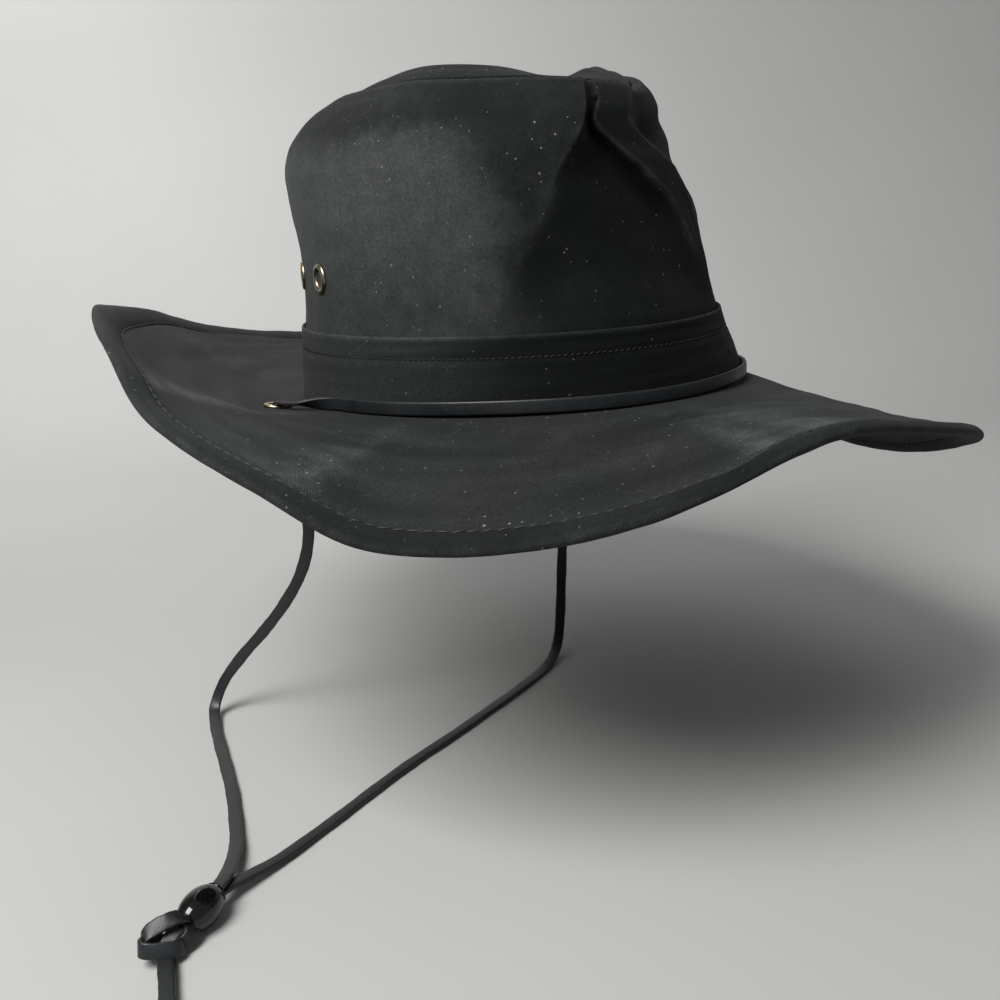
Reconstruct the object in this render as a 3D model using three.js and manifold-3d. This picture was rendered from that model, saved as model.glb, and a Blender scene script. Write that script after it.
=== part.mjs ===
// A soft bush hat of black waxed cotton with a leather chin cord, in the form it has on a head.
// The origin is the middle of the head opening, where the crown meets the brim. The wearer looks along -Y,
// the wearer's left is +X, and +Z is up. Angles go round from the front towards the wearer's left.
import * as THREE from 'three';
import { mergeVertices } from 'three/addons/utils/BufferGeometryUtils.js';
import Module from 'manifold-3d';

const wasm = await Module();
wasm.setup();

// Driving dimensions, in millimetres
const HEAD_HALF_WIDTH = 84;
const HEAD_HALF_LENGTH = 98.5;
const CROWN_HEIGHT = 116;
const CROWN_WALL = 1.5;
const SHOULDER_INSET = 27;
const CROWN_SWELL = 4;
const WALL_TAPER = 6;
const OPENING_BOW = 4.5;
const PINCH_DEPTH = 15;
const TIP_SINK = 17;
const BAND_HEIGHT = 28;
const BAND_WALL = 1.2;
const BRIM_WIDTH = 93;
const BRIM_WALL = 2;
const BRIM_RISE = 48;
const BINDING_WIDTH = 9.5;
const BINDING_WALL = 0.8;
const THONG_WIDTH = 5.2;
const THONG_THICKNESS = 1.7;
const LACE_LIFT = 3.4;
const EYELET_DIAMETER = 12.4;
const EYELET_HOLE = 7.2;
const EYELET_METAL = 0.5;
const EYELET_ROLL = 1.1;
const VENT_HEIGHT = 48.5;
const BRIM_EYELET_REACH = 19;
const BEAD_LENGTH = 17;
const BEAD_DIAMETER = 13;
const BEAD_HOLE = 7;
const KNOT_WIDTH = 18;
const KNOT_THICKNESS = 9;
const TAIL_LENGTH = 36;
const TAIL_DROP = 3;
const TAIL_LIFT = 1;

// Clearances: between sewn or touching pieces, and round an eyelet seated in curved cloth
const GAP = 0.3;
const EYELET_SEAT = 0.6;

// Fineness of the faceted surfaces
const BRIM_STEPS = 64;
const CROWN_STEPS = { fold: 20, ridge: 10, farRidge: 4, farFold: 10, back: 12 };
const EYELET_SIDES = 10;
const BEAD_SIDES = 12;
const LACE_STEPS = 46;
const STRAND_STEP = 2 * THONG_WIDTH;

const degrees = Math.PI / 180;

// Sections of the crown at angles round the hat, as shares of OPENING_BOW, CROWN_SWELL, WALL_TAPER,
// SHOULDER_INSET and CROWN_HEIGHT, and how much fuller than elsewhere the tip rises there
const CROWN_SECTIONS = [
  { angle: -180, bow: 0.0, swell: 0.6, taper: 0.2, inset: 1.0, height: 1.12, dome: 1.0 },
  { angle: -150, bow: 0.0, swell: 0.5, taper: 0.3, inset: 1.05, height: 1.105, dome: 1.0 },
  { angle: -125, bow: 0.0, swell: 0.3, taper: 0.3, inset: 1.15, height: 1.085, dome: 1.2 },
  { angle: -100, bow: 0.0, swell: 0.3, taper: 0.3, inset: 1.08, height: 1.068, dome: 1.6 },
  { angle: -75, bow: 0.0, swell: 0.3, taper: 0.2, inset: 0.85, height: 1.056, dome: 1.65 },
  { angle: -50, bow: 0.0, swell: 0.2, taper: 0.2, inset: 0.75, height: 1.036, dome: 1.25 },
  { angle: -25, bow: 0.1, swell: 0.2, taper: 0.4, inset: 0.8, height: 1.02, dome: 0.3 },
  { angle: 0, bow: 0.5, swell: 0.0, taper: 0.9, inset: 0.9, height: 1.01, dome: 1.4 },
  { angle: 30, bow: 1.0, swell: 0.0, taper: 1.5, inset: 1.1, height: 1.04, dome: 1.6 },
  { angle: 60, bow: 0.8, swell: 0.0, taper: 1.7, inset: 1.15, height: 1.09, dome: 1.1 },
  { angle: 90, bow: 0.2, swell: 0.2, taper: 0.9, inset: 1.05, height: 1.11, dome: 1.0 },
  { angle: 135, bow: 0.0, swell: 0.5, taper: 0.2, inset: 1.0, height: 1.12, dome: 1.0 },
];

// Height of the brim's edge round the hat and its reach, as shares of BRIM_RISE and BRIM_WIDTH, and how late
// the brim turns up or down on its way out
const BRIM_SECTIONS = [
  { angle: -180, rise: 0.38, reach: 1, curl: 1.9 },
  { angle: -166, rise: 0.57, reach: 1, curl: 1.9 },
  { angle: -150, rise: 0.84, reach: 1, curl: 1.9 },
  { angle: -134, rise: 0.96, reach: 1.01, curl: 2.3 },
  { angle: -119, rise: 1, reach: 1.02, curl: 2.6 },
  { angle: -106, rise: 0.85, reach: 1.01, curl: 2.4 },
  { angle: -98, rise: 0.66, reach: 1, curl: 2 },
  { angle: -90, rise: 0.37, reach: 1, curl: 1.9 },
  { angle: -81, rise: 0.14, reach: 1, curl: 1.8 },
  { angle: -71, rise: -0.12, reach: 1, curl: 1.7 },
  { angle: -62, rise: -0.43, reach: 1, curl: 1.6 },
  { angle: -54, rise: -0.5, reach: 1, curl: 1.6 },
  { angle: -44, rise: -0.47, reach: 1, curl: 1.6 },
  { angle: -34, rise: -0.35, reach: 1, curl: 1.5 },
  { angle: -26, rise: -0.19, reach: 1, curl: 1.5 },
  { angle: -19, rise: -0.02, reach: 1, curl: 1.4 },
  { angle: -12, rise: 0.04, reach: 1, curl: 1.3 },
  { angle: -3, rise: -0.06, reach: 1, curl: 1.3 },
  { angle: 11, rise: -0.28, reach: 1.03, curl: 1.2 },
  { angle: 24, rise: -0.54, reach: 1.03, curl: 1.2 },
  { angle: 40, rise: -0.85, reach: 1, curl: 1.2 },
  { angle: 57, rise: -0.98, reach: 1, curl: 1.2 },
  { angle: 76, rise: -0.88, reach: 1, curl: 1.2 },
  { angle: 98, rise: -0.58, reach: 1, curl: 1.3 },
  { angle: 120, rise: -0.26, reach: 1, curl: 1.5 },
  { angle: 148, rise: 0.08, reach: 1, curl: 1.7 },
];

// The pinch at the front, from the brim up to the seam: where its folds run, in degrees, and the depths
// of the strip between the ridges and of the dents beside it, as shares of PINCH_DEPTH
const PINCH_FOLDS = [
  { up: 0.22, fold: -54, ridge: 16, farRidge: 20, farFold: 92, strip: 0.0, dent: 0.0, farDent: 0.0 },
  { up: 0.35, fold: -48, ridge: 11, farRidge: 17, farFold: 89, strip: 0.1, dent: 0.45, farDent: 0.32 },
  { up: 0.5, fold: -40, ridge: 4, farRidge: 15, farFold: 86, strip: 0.38, dent: 0.85, farDent: 0.52 },
  { up: 0.6, fold: -36.5, ridge: -8, farRidge: 9, farFold: 84, strip: 0.6, dent: 1.02, farDent: 1.05 },
  { up: 0.7, fold: -31, ridge: -18, farRidge: -2, farFold: 82, strip: 0.64, dent: 1.0, farDent: 1.2 },
  { up: 0.78, fold: -28, ridge: -23.5, farRidge: -9, farFold: 78, strip: 0.5, dent: 0.72, farDent: 1.2 },
  { up: 0.86, fold: -26.5, ridge: -21.5, farRidge: -8, farFold: 66, strip: 0.27, dent: 0.38, farDent: 0.8 },
  { up: 1.0, fold: -25, ridge: -20, farRidge: -2, farFold: 44, strip: 0.03, dent: 0.06, farDent: 0.2 },
];

// Rise of the tip from its seam towards the middle, as shares of TIP_SINK
const TIP_RISE = [
  { inward: 0, rise: 0 },
  { inward: 0.12, rise: 0.2 },
  { inward: 0.3, rise: 0.34 },
  { inward: 0.6, rise: -0.35 },
  { inward: 1, rise: -1 },
];

// Soft hollows pressed into the cloth of the crown: place, spread in degrees and share of the side, depth in mm
const HOLLOWS = [
  { angle: -56, up: 0.86, wide: 17, tall: 0.13, depth: 2.2 },
  { angle: -44, up: 0.34, wide: 12, tall: 0.07, depth: 1.8 },
  { angle: 150, up: 0.8, wide: 24, tall: 0.2, depth: 2.5 },
  { angle: -126, up: 0.38, wide: 26, tall: 0.15, depth: 3.4 },
];

// The free strands of the thong, from below the brim eyelets to the bead: they fall 150 mm and lie flat there
const RIGHT_STRAND = [
  [-90, 45, -30], [-86, 45, -46], [-87, 46, -62], [-89, 52, -77],
  [-93, 62, -92], [-98, 75, -107], [-104, 88, -121], [-110, 98, -135], [-116, 98, -145], [-122, 88, -148.7],
  [-131, 69, -148.8], [-139, 51, -148.8], [-150, 27, -148.8], [-160, 8, -148.4], [-171.5, -12, -147],
  [-180.5, -24, -145], [-187.5, -32, -143.2], [-194, -37.3, -142.2],
];
const LEFT_STRAND = [
  [89, 44, -34], [81, 45, -56], [75, 41, -78], [68, 36, -99],
  [60, 31, -118], [50, 24, -134], [38, 16, -144.5], [22, 8, -148.6], [-7, 0, -148.8], [-33, -5, -148.8],
  [-61, -10, -148.8], [-88, -14, -148.8], [-112, -19, -148.8], [-131, -23.5, -148.8], [-149, -27.5, -148.6],
  [-165, -31, -148], [-179, -33.2, -146.4], [-188.5, -35.3, -144.8], [-194, -37.3, -144.4],
];
const BEAD_PLACE = [-202, -41, -143.3];
const BEAD_HEADING = -155;
const KNOT_PLACE = [-217.6, -47.6, -143.6];
const TAIL_HEADING = -118;

// Turn of the thong's flat section about its own line, in degrees, so that it lies flat below
const RIGHT_TURN = 149;
const LEFT_TURN = 151;

// Smooth value of a column between the rows of a table that goes round the hat
function aroundTable(rows, column) {
  const count = rows.length;
  return (angle) => {
    let turned = angle;
    while (turned < rows[0].angle) turned += 360;
    while (turned >= rows[0].angle + 360) turned -= 360;
    let i = count - 1;
    while (rows[i].angle > turned) i -= 1;
    const place = (k) => rows[((k % count) + count) % count].angle + 360 * Math.floor(k / count);
    const value = (k) => rows[((k % count) + count) % count][column];
    return hermite(place, value, i, turned);
  };
}

// Distance at which a table with two ends goes on level
const END_SPAN = 0.1;

// Smooth value of a column between the rows of a table with two ends
function alongTable(rows, key, column) {
  const last = rows.length - 1;
  return (at) => {
    const held = Math.min(Math.max(at, rows[0][key]), rows[last][key]);
    let i = last - 1;
    while (i > 0 && rows[i][key] > held) i -= 1;
    const inside = (k) => Math.min(Math.max(k, 0), last);
    const place = (k) => rows[inside(k)][key] + (k - inside(k)) * END_SPAN;
    const value = (k) => rows[inside(k)][column];
    return hermite(place, value, i, held);
  };
}

// Cubic through the knots i and i + 1 whose slopes come from the knots beside them
function hermite(place, value, i, at) {
  const span = place(i + 1) - place(i);
  const u = (at - place(i)) / span;
  const slope = (k) => (value(k + 1) - value(k - 1)) / (place(k + 1) - place(k - 1));
  const u2 = u * u;
  const u3 = u2 * u;
  return (2 * u3 - 3 * u2 + 1) * value(i) + (u3 - 2 * u2 + u) * span * slope(i)
    + (3 * u2 - 2 * u3) * value(i + 1) + (u3 - u2) * span * slope(i + 1);
}

function smoothstep(low, high, x) {
  const t = Math.min(Math.max((x - low) / (high - low), 0), 1);
  return t * t * (3 - 2 * t);
}

const openingBow = aroundTable(CROWN_SECTIONS, 'bow');
const crownSwell = aroundTable(CROWN_SECTIONS, 'swell');
const crownTaper = aroundTable(CROWN_SECTIONS, 'taper');
const crownInset = aroundTable(CROWN_SECTIONS, 'inset');
const crownTop = aroundTable(CROWN_SECTIONS, 'height');
const tipDome = aroundTable(CROWN_SECTIONS, 'dome');
const brimEdgeRise = aroundTable(BRIM_SECTIONS, 'rise');
const brimEdgeReach = aroundTable(BRIM_SECTIONS, 'reach');
const brimCurl = aroundTable(BRIM_SECTIONS, 'curl');
const pinch = Object.fromEntries(
  ['fold', 'ridge', 'farRidge', 'farFold', 'strip', 'dent', 'farDent']
    .map((name) => [name, alongTable(PINCH_FOLDS, 'up', name)]),
);
const tipRise = alongTable(TIP_RISE, 'inward', 'rise');

// Outward direction of the head oval at an angle, and a point at an offset from the head opening
function ovalNormal(angle) {
  const a = angle * degrees;
  return new THREE.Vector3(Math.sin(a) / HEAD_HALF_WIDTH, -Math.cos(a) / HEAD_HALF_LENGTH, 0).normalize();
}

function ovalPoint(angle, offset) {
  const a = angle * degrees;
  const point = new THREE.Vector3(HEAD_HALF_WIDTH * Math.sin(a), -HEAD_HALF_LENGTH * Math.cos(a), 0);
  return point.addScaledVector(ovalNormal(angle), offset + OPENING_BOW * openingBow(angle));
}

// Share of the side that is wall, the share of the height it takes, and the slope at which the shoulder ends
const WALL_SHARE = 0.6;
const WALL_HEIGHT_SHARE = 0.72;
const SHOULDER_END = 72 * degrees;

// Lowest share of the height at which the wall swells, and where its taper ends
const SWELL_FROM = 0.3;

// Angles of the stations round the crown at a share of the way up, so that some run along the folds
function crownAngles(up) {
  const angles = [];
  let from = -180;
  for (const [name, steps] of Object.entries(CROWN_STEPS)) {
    const to = name === 'back' ? 180 : pinch[name](up);
    for (let i = 0; i < steps; i += 1) angles.push(from + ((to - from) * i) / steps);
    from = to;
  }
  return angles;
}

function brimAngles() {
  return Array.from({ length: BRIM_STEPS }, (_, i) => -180 + (360 * i) / BRIM_STEPS);
}

// Depth of the pinch and the soft hollows at an angle and a share of the way up the side
function dentDepth(angle, up) {
  const fold = pinch.fold(up);
  const ridge = pinch.ridge(up);
  const farRidge = pinch.farRidge(up);
  const farFold = pinch.farFold(up);
  const strip = pinch.strip(up) * PINCH_DEPTH;
  const dent = pinch.dent(up) * PINCH_DEPTH;
  const farDent = pinch.farDent(up) * PINCH_DEPTH;
  let depth = 0;
  if (angle > fold && angle < ridge) {
    depth = dentProfile((angle - fold) / (ridge - fold), strip, dent);
  } else if (angle >= ridge && angle <= farRidge) {
    depth = strip;
  } else if (angle > farRidge && angle < farFold) {
    depth = dentProfile((farFold - angle) / (farFold - farRidge), strip, farDent);
  }
  for (const hollow of HOLLOWS) {
    const round = ((((angle - hollow.angle) % 360) + 540) % 360) - 180;
    const far = (round / hollow.wide) ** 2 + ((up - hollow.up) / hollow.tall) ** 2;
    depth += hollow.depth * Math.exp(-far);
  }
  return depth;
}

// Share of a dent's width at which it is deepest, and how sharply it leaves its fold
const DENT_VALLEY = 0.8;
const DENT_SHARPNESS = 1.3;

// A dent that sinks gently from its fold and comes up steeply to the ridge of the strip
function dentProfile(share, strip, dent) {
  const quarter = Math.PI / 2;
  if (share < DENT_VALLEY) return dent * Math.sin((share / DENT_VALLEY) * quarter) ** DENT_SHARPNESS;
  return strip + (dent - strip) * Math.cos(((share - DENT_VALLEY) / (1 - DENT_VALLEY)) * quarter);
}

// Outer surface of the crown's side: up goes from 0 at the brim to 1 at the seam of the tip
function crownSidePoint(angle, up) {
  const turn = Math.max(0, (up - WALL_SHARE) / (1 - WALL_SHARE)) * SHOULDER_END;
  const wall = Math.min(up / WALL_SHARE, 1) * WALL_HEIGHT_SHARE;
  const height = wall + (1 - WALL_HEIGHT_SHARE) * Math.sin(turn) / Math.sin(SHOULDER_END);
  const inset = SHOULDER_INSET * crownInset(angle) * (1 - Math.cos(turn)) / (1 - Math.cos(SHOULDER_END));
  const swelled = Math.min(Math.max((height - SWELL_FROM) / (1 - SWELL_FROM), 0), 1);
  const swell = CROWN_SWELL * crownSwell(angle) * Math.sin(Math.PI * swelled);
  const taper = WALL_TAPER * crownTaper(angle) * smoothstep(0, SWELL_FROM, height);
  const dent = dentDepth(angle, up);
  const offset = CROWN_WALL + swell - taper - inset - dent * Math.cos(turn * 0.5);
  const point = ovalPoint(angle, offset);
  point.z = CROWN_HEIGHT * crownTop(angle) * height - dent * Math.sin(turn * 0.5);
  return point;
}

// Outer surface of the tip: inward goes from 0 at the seam to 1 in the middle
function crownTipPoint(angle, inward) {
  const seam = crownSidePoint(angle, 1);
  const left = 1 - inward;
  const point = new THREE.Vector3(seam.x * left, seam.y * left, 0);
  const dome = 1 + (tipDome(angle) - 1) * left;
  point.z = CROWN_HEIGHT + (seam.z - CROWN_HEIGHT) * left * left + TIP_SINK * tipRise(inward) * dome;
  return point;
}

// Whole outer surface of the crown: along goes from 0 at the brim over 1 at the seam to 2 in the middle of the tip
function crownPoint(angle, along) {
  return along <= 1 ? crownSidePoint(angle, along) : crownTipPoint(angle, along - 1);
}

// Upper surface of the brim: out goes from 0 under the crown's foot to 1 at the edge
function brimPoint(angle, out) {
  const rise = BRIM_RISE * brimEdgeRise(angle);
  const width = BRIM_WIDTH * brimEdgeReach(angle);
  const reach = Math.sqrt(width * width - rise * rise);
  const point = ovalPoint(angle, CROWN_WALL + reach * out);
  point.z = rise * Math.max(out, 0) ** brimCurl(angle);
  return point;
}

// Small steps round the hat and along its surfaces, for the directions at a point
const ANGLE_STEP = 0.5;
const ALONG_STEP = 0.004;

// Direction square to a surface, out of the crown or up from the brim, found from the points beside it
function surfaceNormal(surface, angle, along) {
  const round = surface(angle + ANGLE_STEP, along).sub(surface(angle - ANGLE_STEP, along));
  const up = surface(angle, along + ALONG_STEP).sub(surface(angle, along - ALONG_STEP));
  const normal = round.cross(up).normalize();
  return surface === brimPoint ? normal.negate() : normal;
}

// Grid of points at a distance outside a surface: a row for each station round the hat
function offsetGrid(surface, anglesAt, shares, distance) {
  const columns = shares.map((along) => anglesAt(along).map((angle) => {
    const point = surface(angle, along);
    return point.addScaledVector(surfaceNormal(surface, angle, along), distance);
  }));
  return columns[0].map((_, i) => columns.map((column) => column[i]));
}

// Closed solid round the hat from sections of points. The skins of neighbouring pieces keep an even gap only if
// their faces are split alike, so a step that runs back down or inward is split along its other diagonal.
function ringSolid(rings, runsBack) {
  const count = rings.length;
  const size = rings[0].length;
  const positions = rings.flat().flatMap((p) => [p.x, p.y, p.z]);
  const index = [];
  for (let i = 0; i < count; i += 1) {
    const next = (i + 1) % count;
    for (let j = 0; j < size; j += 1) {
      const after = (j + 1) % size;
      const [a, b, c, d] = [i * size + j, next * size + j, next * size + after, i * size + after];
      if (runsBack(j)) index.push(a, b, d, b, c, d);
      else index.push(a, b, c, a, c, d);
    }
  }
  return buffer(positions, index);
}

// Closed dome from an outer and an inner grid whose last points all lie on one pole
function domeSolid(outer, inner) {
  const count = outer.length;
  const size = outer[0].length;
  const positions = [];
  const index = [];
  const add = (p) => positions.push(p.x, p.y, p.z) / 3 - 1;
  const lay = (grid) => {
    const pole = add(grid[0][size - 1]);
    return grid.map((row) => row.map((p, j) => (j === size - 1 ? pole : add(p))));
  };
  const o = lay(outer);
  const n = lay(inner);
  for (let i = 0; i < count; i += 1) {
    const next = (i + 1) % count;
    for (let j = 0; j + 1 < size; j += 1) {
      index.push(o[i][j], o[next][j], o[next][j + 1], n[i][j], n[next][j + 1], n[next][j]);
      if (j + 2 < size) index.push(o[i][j], o[next][j + 1], o[i][j + 1], n[i][j], n[i][j + 1], n[next][j + 1]);
    }
    index.push(n[i][0], n[next][0], o[next][0], n[i][0], o[next][0], o[i][0]);
  }
  return buffer(positions, index);
}

function buffer(positions, index) {
  const geometry = new THREE.BufferGeometry();
  geometry.setAttribute('position', new THREE.Float32BufferAttribute(positions, 3));
  geometry.setIndex(index);
  return geometry;
}

// Cutting and joining
function toManifold(geometry) {
  const bare = geometry.clone();
  bare.deleteAttribute('normal');
  bare.deleteAttribute('uv');
  const merged = mergeVertices(bare, 1e-4);
  const mesh = new wasm.Mesh({
    numProp: 3,
    vertProperties: new Float32Array(merged.attributes.position.array),
    triVerts: new Uint32Array(merged.index.array),
  });
  return new wasm.Manifold(mesh);
}

function fromManifold(manifold) {
  const mesh = manifold.getMesh();
  return buffer(Array.from(mesh.vertProperties), Array.from(mesh.triVerts));
}

function cutHoles(geometry, seats, radius) {
  let body = toManifold(geometry);
  for (const seat of seats) {
    const plug = new THREE.CylinderGeometry(radius, radius, 2 * EYELET_DIAMETER, EYELET_SIDES);
    plug.rotateX(Math.PI / 2);
    plug.applyMatrix4(seat);
    body = body.subtract(toManifold(plug));
  }
  return fromManifold(body);
}

// Place of an eyelet: its own z points out of the cloth, its origin is on the outer surface
function seatOn(surface, angle, along) {
  const normal = surfaceNormal(surface, angle, along);
  const up = surface(angle, along + ALONG_STEP).sub(surface(angle, along - ALONG_STEP)).normalize();
  const side = up.clone().cross(normal);
  const matrix = new THREE.Matrix4().makeBasis(side, up, normal);
  return matrix.setPosition(surface(angle, along));
}

// A rolled brass eyelet through cloth of the given wall: a barrel with a rounded flange outside and a washer inside
function eyeletGeometry(wall) {
  const hole = EYELET_HOLE / 2;
  const rim = EYELET_DIAMETER / 2;
  const barrel = hole + EYELET_METAL;
  const top = EYELET_SEAT;
  const foot = -wall - EYELET_SEAT;
  const profile = [
    [hole, foot - EYELET_METAL], [rim - EYELET_METAL, foot - EYELET_METAL], [rim - EYELET_METAL, foot],
    [barrel, foot], [barrel, top], [rim, top], [(rim + barrel) / 2, top + EYELET_ROLL], [hole, top + EYELET_METAL],
  ];
  const points = profile.map(([r, z]) => new THREE.Vector2(r, z));
  points.push(points[0].clone());
  const geometry = new THREE.LatheGeometry(points, EYELET_SIDES);
  geometry.rotateX(Math.PI / 2);
  return geometry;
}

// Closed solid from rings of points along a run, with flat ends
function runSolid(rings) {
  const size = rings[0].length;
  const positions = rings.flat().flatMap((p) => [p.x, p.y, p.z]);
  const index = [];
  for (let i = 0; i + 1 < rings.length; i += 1) {
    for (let j = 0; j < size; j += 1) {
      const after = (j + 1) % size;
      const [a, b, c, d] = [i * size + j, (i + 1) * size + j, (i + 1) * size + after, i * size + after];
      index.push(a, c, b, a, d, c);
    }
  }
  const end = (rings.length - 1) * size;
  for (let j = 1; j + 1 < size; j += 1) index.push(0, j + 1, j, end, end + j, end + j + 1);
  return buffer(positions, index);
}

// Strap along points, each with the direction of its width and of its face
function strapSolid(stations, width, thickness) {
  return runSolid(stations.map(({ at, across, face }) => [[-1, -1], [1, -1], [1, 1], [-1, 1]].map(
    ([w, t]) => at.clone().addScaledVector(across, (w * width) / 2).addScaledVector(face, (t * thickness) / 2),
  )));
}

// Flat section of the thong with eased corners, turned about its middle
function thongShape(turn) {
  const [w, t, ease] = [THONG_WIDTH / 2, THONG_THICKNESS / 2, THONG_THICKNESS / 4];
  const corners = [
    [-w, -t + ease], [-w + ease, -t], [w - ease, -t], [w, -t + ease],
    [w, t - ease], [w - ease, t], [-w + ease, t], [-w, t - ease],
  ];
  const c = Math.cos(turn * degrees);
  const n = Math.sin(turn * degrees);
  return new THREE.Shape(corners.map(([x, y]) => new THREE.Vector2(x * c - y * n, x * n + y * c)));
}

// Free strand of the thong: it leaves its eyelet squarely and then follows its route
function strandGeometry(seat, route, turn) {
  const foot = BRIM_WALL + EYELET_SEAT + EYELET_METAL + GAP;
  const leaving = [foot, foot + 2 * THONG_WIDTH].map((drop) => new THREE.Vector3(0, 0, -drop).applyMatrix4(seat));
  const points = [...leaving, ...route.map((p) => new THREE.Vector3(...p))];
  const curve = new THREE.CatmullRomCurve3(points, false, 'centripetal');
  const steps = Math.round(curve.getLength() / STRAND_STEP);
  return new THREE.ExtrudeGeometry(thongShape(turn), { steps, extrudePath: curve });
}

const materials = {
  cotton: new THREE.MeshStandardMaterial({ color: 0x24262a, roughness: 0.82, metalness: 0 }),
  band: new THREE.MeshStandardMaterial({ color: 0x1f2125, roughness: 0.86, metalness: 0 }),
  leather: new THREE.MeshStandardMaterial({ color: 0x17191c, roughness: 0.5, metalness: 0 }),
  brass: new THREE.MeshStandardMaterial({ color: 0x8f7a4a, roughness: 0.38, metalness: 1 }),
  gloss: new THREE.MeshStandardMaterial({ color: 0x0b0c0e, roughness: 0.12, metalness: 0 }),
};

const hat = new THREE.Group();

function addPiece(name, geometry, material) {
  const mesh = new THREE.Mesh(geometry, material);
  mesh.name = name;
  hat.add(mesh);
  return mesh;
}

// Share of the crown's side at a height above the brim, on its upright wall
function upAtHeight(height) {
  return (height / (CROWN_HEIGHT * WALL_HEIGHT_SHARE)) * WALL_SHARE;
}

// Crown
const VENTS = [
  { name: 'vent_eyelet_right_front', angle: -104.5 },
  { name: 'vent_eyelet_right_back', angle: -127 },
  { name: 'vent_eyelet_left_front', angle: 104.5 },
  { name: 'vent_eyelet_left_back', angle: 127 },
];
const ventSeats = VENTS.map((vent) => seatOn(crownSidePoint, vent.angle, upAtHeight(VENT_HEIGHT)));

function shares(count, from, to) {
  return Array.from({ length: count + 1 }, (_, i) => from + ((to - from) * i) / count);
}

// Levels of the crown's side, as shares of the way up: the band's, then those of the wall and the shoulder
const BAND_LEVELS = shares(2, upAtHeight(2 * GAP), upAtHeight(BAND_HEIGHT));
const UPPER_LEVELS = [0.34, 0.44, 0.54, 0.64, 0.74, 0.84, 0.93, 0.996];

function makeCrownSide() {
  const levels = [upAtHeight(GAP), ...BAND_LEVELS.slice(1), ...UPPER_LEVELS];
  const outer = offsetGrid(crownSidePoint, crownAngles, levels, 0);
  const inner = offsetGrid(crownSidePoint, crownAngles, levels, -CROWN_WALL);
  const rings = outer.map((row, i) => [...row, ...inner[i].reverse()]);
  const side = ringSolid(rings, (j) => j >= levels.length);
  return cutHoles(side, ventSeats, EYELET_HOLE / 2 + EYELET_METAL + GAP);
}

function makeCrownTip() {
  const levels = [0.006, 0.1, 0.25, 0.5, 0.75, 1].map((inward) => 1 + inward);
  const outer = offsetGrid(crownPoint, crownAngles, levels, 0);
  const inner = offsetGrid(crownPoint, crownAngles, levels, -CROWN_WALL);
  for (const grid of [outer, inner]) {
    const drop = grid === inner ? CROWN_WALL : 0;
    const pole = new THREE.Vector3(0, 0, crownTipPoint(0, 1).z - drop);
    grid.forEach((row) => row[row.length - 1].copy(pole));
  }
  return domeSolid(outer, inner);
}

function makeBand() {
  const inner = offsetGrid(crownSidePoint, crownAngles, BAND_LEVELS, GAP);
  const outer = offsetGrid(crownSidePoint, crownAngles, BAND_LEVELS, GAP + BAND_WALL);
  return ringSolid(outer.map((row, i) => [...row, ...inner[i].reverse()]), (j) => j >= BAND_LEVELS.length);
}

addPiece('crown_side', makeCrownSide(), materials.cotton);
addPiece('crown_tip', makeCrownTip(), materials.cotton);
addPiece('hat_band', makeBand(), materials.band);
VENTS.forEach((vent, i) => {
  addPiece(vent.name, eyeletGeometry(CROWN_WALL).applyMatrix4(ventSeats[i]), materials.brass);
});

// Brim
const BRIM_EYELETS = [
  { name: 'brim_eyelet_right', angle: -112.5 },
  { name: 'brim_eyelet_left', angle: 112.5 },
];
const brimEyeletOut = BRIM_EYELET_REACH / BRIM_WIDTH;
const brimSeats = BRIM_EYELETS.map((eyelet) => seatOn(brimPoint, eyelet.angle, brimEyeletOut));

// Shares of the way out where the binding starts and where the cloth of the brim ends inside it
const BINDING_START = 1 - BINDING_WIDTH / BRIM_WIDTH;
const CLOTH_EDGE = 1 - (GAP + BINDING_WALL) / BRIM_WIDTH;

function makeBrim() {
  const levels = [-CROWN_WALL / BRIM_WIDTH, 0.12, 0.3, 0.5, 0.7, BINDING_START, CLOTH_EDGE];
  const top = offsetGrid(brimPoint, brimAngles, levels, 0);
  const under = offsetGrid(brimPoint, brimAngles, levels, -BRIM_WALL);
  const rings = top.map((row, i) => [...row.reverse(), ...under[i]]);
  const cloth = ringSolid(rings, (j) => j < levels.length);
  return cutHoles(cloth, brimSeats, EYELET_HOLE / 2 + EYELET_METAL + GAP);
}

function makeBinding() {
  const skin = (along, distance) => offsetGrid(brimPoint, brimAngles, [along], distance).map((row) => row[0]);
  const over = GAP;
  const under = -BRIM_WALL - GAP;
  const lining = CLOTH_EDGE + GAP / BRIM_WIDTH;
  const rings = [
    skin(BINDING_START, over), skin(lining, over), skin(lining, under), skin(BINDING_START, under),
    skin(BINDING_START, under - BINDING_WALL), skin(CLOTH_EDGE, under - BINDING_WALL),
    skin(1, under + GAP), skin(1, 0), skin(CLOTH_EDGE, over + BINDING_WALL),
    skin(BINDING_START, over + BINDING_WALL),
  ];
  return ringSolid(rings[0].map((_, i) => rings.map((ring) => ring[i])), (j) => j === 2 || j >= 6);
}

addPiece('brim', makeBrim(), materials.cotton);
addPiece('brim_binding', makeBinding(), materials.cotton);
BRIM_EYELETS.forEach((eyelet, i) => {
  addPiece(eyelet.name, eyeletGeometry(BRIM_WALL).applyMatrix4(brimSeats[i]), materials.brass);
});

// Thong round the foot of the band, from one brim eyelet round the front to the other. Over the last degrees
// it leaves the band, leans over and comes down flat on the eyelet.
const LACE_END = BRIM_EYELETS[1].angle;
const LACE_LEAVES = 18;
const LACE_FLAT_FROM = 0.7;

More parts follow.
